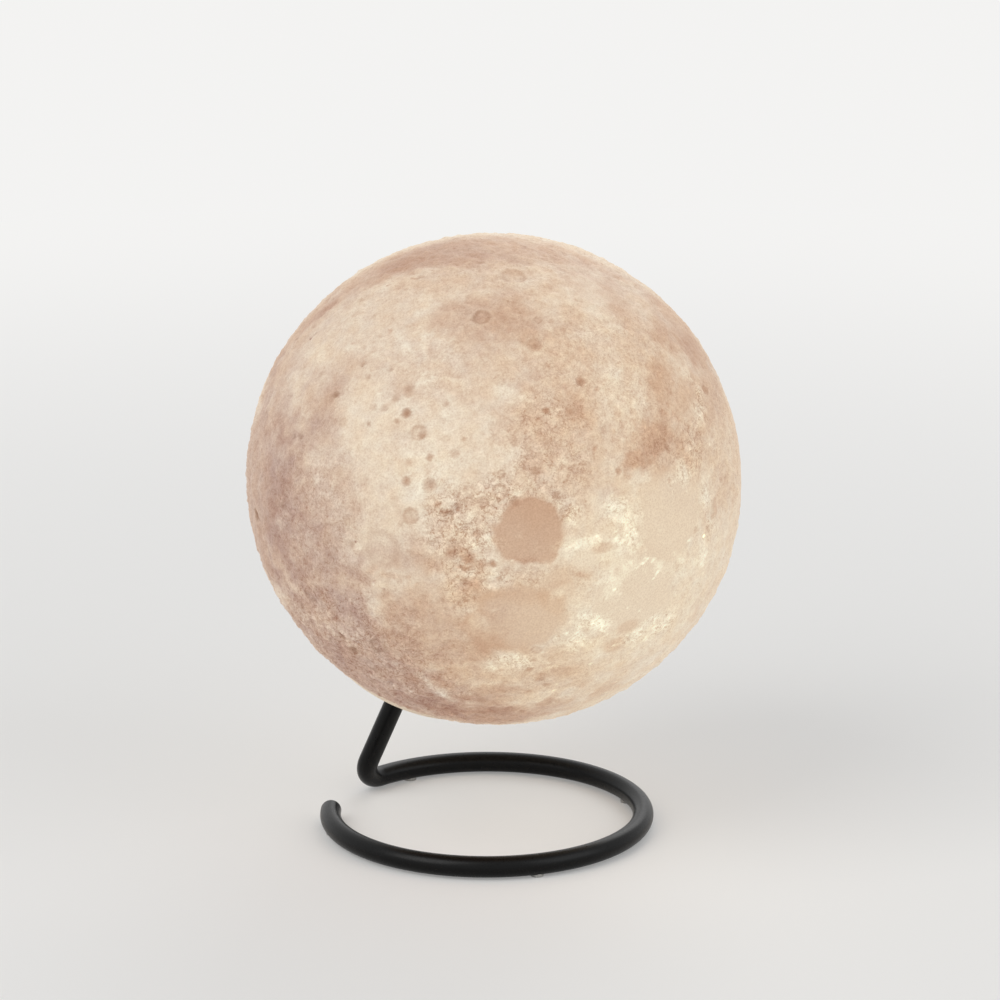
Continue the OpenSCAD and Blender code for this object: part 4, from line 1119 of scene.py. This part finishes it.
def small_piece(name, shape, finishes, node=None, body="moon"):
    """Turns a drawing into a piece that rides on a body and stands for a CAD node."""
    bmesh.ops.recalc_face_normals(shape, faces=shape.faces)
    for edge in shape.edges:
        edge.smooth = edge.calc_face_angle(0.0) < SHARP
    mesh = bpy.data.meshes.new(name)
    shape.to_mesh(mesh)
    shape.free()
    mesh.transform(cap_frame)
    mesh.polygons.foreach_set("use_smooth", np.ones(len(mesh.polygons), bool))
    for finish in finishes:
        mesh.materials.append(FINISHES[finish])
    piece = bpy.data.objects.new(name, mesh)
    bpy.context.scene.collection.objects.link(piece)
    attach(piece, body)
    if node:
        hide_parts(node)
    print(name + ":", len(mesh.polygons), "faces")
    return piece


# %% [markdown]
# ## Screws
# Four kinds of pan-head screw hold the lamp together. The head is a low dome with a cross
# recess, and the shank carries a thread. A cross could be cut with a boolean, but fine rings
# of points that sink inside the arms of the cross give the same tapered recess with no cut.
# The thread is drawn as rings, because nobody sees its pitch inside its hole.

# %% Screws
RECESS_SHARE = 0.5


def cross_depth(x, y, head):
    """How deep the recess is at this place on a head of this radius."""
    narrow, wide = sorted((abs(x), abs(y)))
    across = min(max((0.16 * head - narrow) / (0.07 * head), 0.0), 1.0)
    along = min(max((0.62 * head - wide) / (0.14 * head), 0.0), 1.0)
    return across * along


def screw(shape, at, seat, way, reach, shank, head, head_height):
    """A screw whose head rests at height seat and whose shank runs in direction way."""
    top = [(share * head, -head_height) for share in [0.02 + 0.075 * i for i in range(10)]]
    top += [(0.84 * head, -0.93 * head_height), (0.95 * head, -0.72 * head_height)]
    top += [(head, -0.4 * head_height), (head, 0.0)]
    threads = int((reach - 0.9) / 0.4)
    thread = [(shank * (0.8 if i % 2 else 1.0), 0.3 + 0.2 * i) for i in range(2 * threads)]
    tip = [(0.75 * shank, reach - 0.4), (0.35 * shank, reach)]
    recess = way * RECESS_SHARE * head_height
    loops = []
    for radius, rise in top + [(shank, 0.0)] + thread + tip:
        loop = circle(radius, seat + way * rise, at, 48)
        if rise == -head_height:
            loop = [(x, y, z + recess * cross_depth(x - at[0], y - at[1], head)) for x, y, z in loop]
        loops.append(loop)
    loft(shape, loops)


def round_places(radius, angles):
    """Places on a circle about the rod's line, from angles in degrees."""
    return [(radius * math.cos(math.radians(a)), radius * math.sin(math.radians(a))) for a in angles]


# %% Place the screws
# (name, places, seat, direction, reach, shank radius, head radius, head height), in mm
SCREWS = (
    ("cap_screws", round_places(24.05, (0, 120, 240)), 1.7, 1, 6.3, 1.0, 1.75, 1.3),
    ("sleeve_screws", round_places(7.17, (0, 90, 270)), 4.2, -1, 2.9, 0.7, 1.2, 0.8),
    ("board_screws", round_places(16.95, (80, 180, 280)), 10.6, -1, 5.6, 0.7, 1.5, 0.8),
    ("led_screws", round_places(11.22, (60, 180, 300)), 50.35, -1, 4.3, 0.7, 1.5, 0.8),
)
for node, places, *sizes in SCREWS:
    drawing = bmesh.new()
    for place in places:
        screw(drawing, place, *sizes)
    small_piece(node + "_cross_head", drawing, ["bright_steel"], node)

# %% [markdown]
# ## Button, plunger, switch and charge light
# The button is a moulded disc with a dished face and a soft edge, so that a finger finds it in
# the dark. Behind it stand the switch's plunger and the switch, a small metal-topped block on
# the board. All are turned or stacked shapes. The switch keeps its bore, because the plunger
# sinks into it when the button is pressed.

# %% Button and plunger
BUTTON_AT, PIPE_AT = (-8.847, -11.324), (-8.847, 11.324)
DISH_RADIUS, DISH_TOP = 15.0, 1.0
BUTTON_RADIUS, SOFT_EDGE, EDGE_TOP = 4.0, 0.35, 0.95


def dish_point(radius):
    """A point of the button's hollow face."""
    return radius, DISH_TOP - DISH_RADIUS + math.sqrt(DISH_RADIUS ** 2 - radius ** 2)


def edge_point(turn):
    """A point of the soft edge round the face."""
    return BUTTON_RADIUS - SOFT_EDGE * (1.0 - math.sin(turn)), EDGE_TOP - SOFT_EDGE * math.cos(turn)


button_profile = [dish_point(radius) for radius in (0.1, 0.8, 1.6, 2.4, 3.0, 3.4)]
button_profile += [edge_point(turn) for turn in (0.0, 0.4, 0.8, 1.2, 1.57)]
button_profile += [(4.0, 3.05), (4.8, 3.05), (4.9, 3.15), (4.9, 3.75), (4.8, 3.85), (0.5, 3.85)]
drawing = bmesh.new()
turned(drawing, button_profile, BUTTON_AT, 64)
small_piece("button_dished_cap", drawing, ["button_grey"], "button_cap", "button")
plunger_profile = [(1.2, 3.85), (1.55, 3.9), (1.6, 4.1), (1.6, 6.2), (1.35, 6.5), (0.6, 6.6)]
drawing = bmesh.new()
turned(drawing, plunger_profile, BUTTON_AT)
small_piece("plunger", drawing, ["black_plastic"], "switch_plunger", "button")

# %% Switch
SWITCH_SIZE, SWITCH_CORNER, STUD_REACH = (6.0, 6.0), 0.5, 2.3
SWITCH_SHAPE = {"at": BUTTON_AT, "steps": 7}


def square_loops(*steps):
    """Square loops about the button's line, from (inset, height)."""
    return [slab(SWITCH_SIZE, SWITCH_CORNER, *step, **SWITCH_SHAPE) for step in steps]


def round_loops(*steps):
    """Round loops about the button's line, from (radius, height)."""
    return [circle(*step, BUTTON_AT) for step in steps]


# The block, from its foot on the board along the outside and into the bore
drawing = bmesh.new()
block = square_loops((0.2, 9.0), (0.0, 8.8), (0.0, 6.1), (0.25, 5.9))
loft(drawing, block + round_loops((1.9, 5.9), (1.72, 6.0), (1.66, 7.5)))
# The metal plate is a ring, so its last loop joins the first again
plate = square_loops((0.3, 5.9), (0.1, 5.85), (0.1, 5.65), (0.2, 5.6))
plate += round_loops((1.8, 5.6), (1.7, 5.65), (1.7, 5.88))
rows = [[drawing.verts.new(point) for point in loop] for loop in plate]
for low, high in zip(rows, rows[1:] + rows[:1]):
    for i in range(len(low)):
        after = (i + 1) % len(low)
        drawing.faces.new((low[i], low[after], high[after], high[i])).material_index = 1
for right in (-STUD_REACH, STUD_REACH):
    for up in (-STUD_REACH, STUD_REACH):
        stud_at = (BUTTON_AT[0] + right, BUTTON_AT[1] + up)
        turned(drawing, [(0.45, 5.62), (0.4, 5.5), (0.2, 5.42)], stud_at, 16, 1)
small_piece("switch", drawing, ["black_plastic", "bright_steel"], "tact_switch")

# %% Charge light and its pipe
pipe_profile = [(0.3, 0.2), (0.7, 0.25), (1.0, 0.38), (1.2, 0.65), (1.2, 3.0), (1.9, 3.0), (2.0, 3.1)]
pipe_profile += [(2.0, 3.7), (1.9, 3.8), (1.2, 3.8), (1.2, 7.6), (0.9, 7.9)]
drawing = bmesh.new()
turned(drawing, pipe_profile, PIPE_AT, 40)
small_piece("charge_light_pipe", drawing, ["clear_pipe"], "light_pipe")
STATUS_SIZE, STATUS_LOW = (1.6, 0.8, 0.35), 8.65
drawing = bmesh.new()
soft_block(drawing, STATUS_SIZE, STATUS_LOW, PIPE_AT, 0.04, 0.08)
turned(drawing, [(0.1, 8.3), (0.25, 8.33), (0.36, 8.45), (0.38, 8.66)], PIPE_AT, 20, 1)
small_piece("charge_light", drawing, ["board_white", "status_light"], "status_led")

# %% [markdown]
# ## Charging inlet
# The inlet is a shell of folded sheet steel round a plastic tongue with rows of gold contacts.
# A shell with a rounded lip looks like real sheet, so the stack of flat-oval loops runs up the
# outside, over the lip and down the inside. The contacts are thin strips that stand a little
# proud of the tongue.

# %% Inlet shell
INLET_AT = (-11.72, 0.0)
INLET_SIZE, INLET_CORNER = (3.3, 9.0), 1.64
# (inset, height) up the outside, over the lip and down the inside
SHELL_STEPS = (
    (0.0, 9.0), (0.0, 0.5), (0.04, 0.36), (0.165, 0.3), (0.29, 0.36), (0.33, 0.5), (0.33, 7.5),
)
drawing = bmesh.new()
loft(drawing, [slab(INLET_SIZE, INLET_CORNER, *step, INLET_AT, steps=8) for step in SHELL_STEPS])
small_piece("inlet_shell", drawing, ["bright_steel"], "usb_port")

# %% Inlet tongue
TONGUE_SIZE, TONGUE_LOW = (0.7, 6.7, 6.1), 1.4
CONTACT_SIZE, CONTACT_LOW = (0.06, 0.26, 4.2), 2.3
CONTACTS, CONTACT_PITCH, CONTACT_REACH = 12, 0.5, 0.36
drawing = bmesh.new()
soft_block(drawing, TONGUE_SIZE, TONGUE_LOW, INLET_AT, 0.1, 0.15)
for side in (-CONTACT_REACH, CONTACT_REACH):
    for i in range(CONTACTS):
        contact_at = (INLET_AT[0] + side, CONTACT_PITCH * (i - (CONTACTS - 1) / 2))
        soft_block(drawing, CONTACT_SIZE, CONTACT_LOW, contact_at, 0.01, 0.02, finish=1)
small_piece("inlet_tongue", drawing, ["black_plastic", "brass"], "usb_tongue")

# %% [markdown]
# ## Board parts
# The two large parts on the board are chips in black resin with bent metal legs, and the small
# ones are ceramic capacitors with silver ends. The plugs of the leads are pale blocks with two
# guide ribs. They are stacks of rounded rectangles, with a second finish for the metal.

# %% Chips and capacitors
BOARD_TOP = 10.6
CHIP_X, CHIP_Y, CHIP_SIZE, CHIP_LOW = -11.12, 3.6, (3.0, 3.9, 0.85), 10.75
LEG_REACH, LEG_PITCH, LEG_SIZE = 1.72, 0.9, (0.54, 0.34, 0.4)
CAPACITOR_REACH, CAPACITOR_SIZE, CAPACITOR_LOW = 7.17, (0.74, 0.9, 0.52), 10.62
SILVER_REACH, SILVER_SIZE = 0.6, (0.8, 0.4, 0.6)
drawing = bmesh.new()
for chip_y in (-CHIP_Y, CHIP_Y):
    soft_block(drawing, CHIP_SIZE, CHIP_LOW, (CHIP_X, chip_y), 0.12, 0.15)
    # A flat dot marks the corner of the first leg
    turned(drawing, [(0.3, 11.58), (0.28, 11.6)], (CHIP_X - 1.1, chip_y - 1.5), 12, 1)
    for end in (-LEG_REACH, LEG_REACH):
        for leg in range(4):
            leg_at = (CHIP_X + end, chip_y + LEG_PITCH * (leg - 1.5))
            soft_block(drawing, LEG_SIZE, BOARD_TOP, leg_at, 0.05, 0.08, finish=1)
for angle in (150, 162, 198, 210):
    turn = math.radians(angle)
    soft_block(drawing, CAPACITOR_SIZE, CAPACITOR_LOW, (CAPACITOR_REACH, 0.0), 0.03, 0.05, turn, 2)
    for end in (-SILVER_REACH, SILVER_REACH):
        soft_block(drawing, SILVER_SIZE, BOARD_TOP, (CAPACITOR_REACH, end), 0.06, 0.08, turn, 1)
board_finishes = ["black_plastic", "bright_steel", "ceramic"]
small_piece("chips_and_capacitors", drawing, board_finishes, "board_components")

# %% Plugs
SOCKET_ANGLE, SOCKET_REACH = math.radians(117), 0.72 * 19.35
SOCKET_X, SOCKET_Y = SOCKET_REACH * math.cos(SOCKET_ANGLE), SOCKET_REACH * math.sin(SOCKET_ANGLE)
SOCKET_PLACES = ((SOCKET_X, SOCKET_Y), (SOCKET_X, -SOCKET_Y))
PLUG_LOW, PLUG_TOP, LEAD_SIDE = 11.45, 16.65, 1.4
RIB_SIDE, RIB_SIZE, RIB_LOW = 1.6, (0.5, 0.3, 0.9), 15.62
drawing = bmesh.new()
for x, y in SOCKET_PLACES:
    soft_block(drawing, (6.6, 3.6, PLUG_TOP - PLUG_LOW), PLUG_LOW, (x, y), 0.2, 0.4)
    for end in (-1, 1):
        soft_block(drawing, RIB_SIZE, RIB_LOW, (x + RIB_SIDE * end, y + 1.85), 0.06, 0.08)
        hole = [(0.85, PLUG_TOP - 0.05), (0.8, PLUG_TOP + 0.02)]
        turned(drawing, hole, (x + LEAD_SIDE * end, y), 20, 1)
small_piece("plugs", drawing, ["nylon", "black_plastic"], "lead_plugs")

# %% [markdown]
# ## Leads
# Two pairs of soft wires run inside the module: red and black from the cell, and a pale pair up
# to the lights. A real wire turns in an even bend. Each path is given by its corners, every
# corner is replaced by a short curve, and a circle is carried along the path without twisting.

# %% Bend and sweep a wire
LEAD_RADIUS, LEAD_BEND, LEAD_SIDES = 0.6, 2.4, 16


def bent(corners):
    """The path through these corners, with a curve in place of each inner corner."""
    path = [Vector(corners[0])]
    for before, corner, after in zip(corners, corners[1:], corners[2:]):
        before, corner, after = (Vector(point) for point in (before, corner, after))
        start = corner + (before - corner) * min(0.48, LEAD_BEND / (before - corner).length)
        end = corner + (after - corner) * min(0.48, LEAD_BEND / (after - corner).length)
        for i in range(7):
            t = i / 6
            path.append(start.lerp(corner, t).lerp(corner.lerp(end, t), t))
    return path + [Vector(corners[-1])]


def wire(shape, corners, finish):
    """A round wire along a bent path."""
    path = bent(corners)
    ways = [(b - a).normalized() for a, b in zip(path, path[1:])]
    ways = [ways[0]] + [(a + b).normalized() for a, b in zip(ways, ways[1:])] + [ways[-1]]
    across = ways[0].orthogonal().normalized()
    turns = [2 * math.pi * i / LEAD_SIDES for i in range(LEAD_SIDES)]
    loops = []
    for point, way in zip(path, ways):
        across = (across - way * across.dot(way)).normalized()
        other = way.cross(across)
        ring = [across * math.cos(t) + other * math.sin(t) for t in turns]
        loops.append([point + LEAD_RADIUS * spoke for spoke in ring])
    loft(shape, loops, finish)


# %% Leads of the cell and of the lights
battery_drawing, light_drawing = bmesh.new(), bmesh.new()
for side, finish in ((-1, 0), (1, 1)):
    x, y = SOCKET_X + LEAD_SIDE * side, SOCKET_Y
    cell_y = 8.6 + 1.6 * side
    wire(battery_drawing, [(x, y, PLUG_TOP), (x, y, 31.0), (1.52, 12.6 + 1.3 * side, 41.25),
                           (6.22, cell_y, 44.9), (9.42, cell_y, 44.9)], finish)
    wire(light_drawing, [(x, -y, PLUG_TOP), (x, -y, 40.2), (1.1 * side, -0.55, 41.4),
                         (1.1 * side, -0.55, 51.8), (2.3 * side, -0.55, 52.3),
                         (4.3 * side, -0.55, 51.05)], finish)
small_piece("cell_wires", battery_drawing, ["red_lead", "black_plastic"], "battery_leads")
small_piece("light_wires", light_drawing, ["pale_lead", "pale_lead"], "led_leads")

# %% [markdown]
# ## Cell, its board and the foam
# A flat lithium cell is a foil pouch: its faces are a little full, its edges are round and two
# bands of amber tape hold the folded ends. The stack of loops that makes it changes its inset
# with the height, which gives the full faces. The foam strip behind it keeps it off the sleeve.

# %% Pouch cell
CELL_X, CELL_LOW, CELL_HIGH = 6.92, 11.0, 43.0
CELL_SIZE, CELL_CORNER = (8.5, 25.0), 2.6
POUCH_LOOPS, END_INSET, END_SHARE = 15, 1.5, 0.03
cell_at = (CELL_X + CELL_SIZE[0] / 2, 0.0)


def pouch_inset(share):
    """How far the pouch draws in at this share of its height."""
    share = min(max(share, END_SHARE), 1.0 - END_SHARE)
    return END_INSET * (1.0 - math.sin(math.pi * share) ** 0.22)


def cell_loops(steps):
    """Loops about the cell's middle line, from (inset, height)."""
    return [slab(CELL_SIZE, CELL_CORNER, *step, cell_at, steps=6) for step in steps]


shares = [i / (POUCH_LOOPS - 1) for i in range(POUCH_LOOPS)]
drawing = bmesh.new()
loft(drawing, cell_loops([(pouch_inset(s), CELL_LOW + s * (CELL_HIGH - CELL_LOW)) for s in shares]))
for low, high in ((12.6, 17.0), (37.0, 41.4)):
    loft(drawing, cell_loops([(0.25, low), (-0.02, low + 0.02), (-0.02, high - 0.02), (0.25, high)]), 1)
small_piece("pouch_cell", drawing, ["cell_wrap", "amber_film"], "battery_cell")

# %% Guard board
GUARD_SIZE, GUARD_LOW, GUARD_TOP = (7.3, 21.8, 0.7), 43.05, 43.75
drawing = bmesh.new()
soft_block(drawing, GUARD_SIZE, GUARD_LOW, cell_at, 0.04, 0.3)
for y, length in ((-7.6, 3.0), (-3.4, 2.4), (0.4, 1.6)):
    soft_block(drawing, (2.4, length, 0.45), GUARD_TOP, (cell_at[0], y), 0.05, 0.1, finish=1)
for y in (7.0, 10.2):
    soft_block(drawing, (1.9, 1.3, 0.6), GUARD_TOP, (8.5, y), 0.25, 0.6, finish=2)
guard_finishes = ["board_green", "black_plastic", "bright_steel"]
small_piece("guard_board", drawing, guard_finishes, "cell_board")

# %% Foam strip
FOAM_SIZE, FOAM_LOW, FOAM_AT = (1.2, 15.0, 23.65), 13.0, (6.27, 0.0)
drawing = bmesh.new()
soft_block(drawing, FOAM_SIZE, FOAM_LOW, FOAM_AT, 0.25, 0.35)
foam_strip = small_piece("foam_strip", drawing, ["foam"], "battery_pad")

# %% [markdown]
# ## Light chips
# Each light is a white package with a shallow well of yellow phosphor, and it is lit. The last
# loop of the stack lies a little deeper than the rim, and the face that closes it takes the
# glowing finish.

# %% Light chips
LIGHT_LOW, LIGHT_HIGH = 50.35, 51.15
LIGHT_SIZE, LIGHT_CORNER = (3.5, 2.8), 0.3
# (inset, height) up the outside, over the rim and into the well
PACKAGE = ((0.05, LIGHT_LOW), (0.0, LIGHT_LOW + 0.1), (0.0, LIGHT_HIGH - 0.1), (0.08, LIGHT_HIGH),
           (0.32, LIGHT_HIGH), (0.48, LIGHT_HIGH - 0.18))
# (how many, distance from the rod's line)
LIGHT_RINGS = ((10, 15.09), (4, 6.97))
drawing = bmesh.new()
for count, reach in LIGHT_RINGS:
    for i in range(count):
        turn = 2 * math.pi * (i + 0.5) / count
        loops = [slab(LIGHT_SIZE, LIGHT_CORNER, *step, (reach, 0.0), turn) for step in PACKAGE]
        loft(drawing, loops, 0, 1)
small_piece("lit_chips", drawing, ["board_white", "phosphor"], "led_chips")
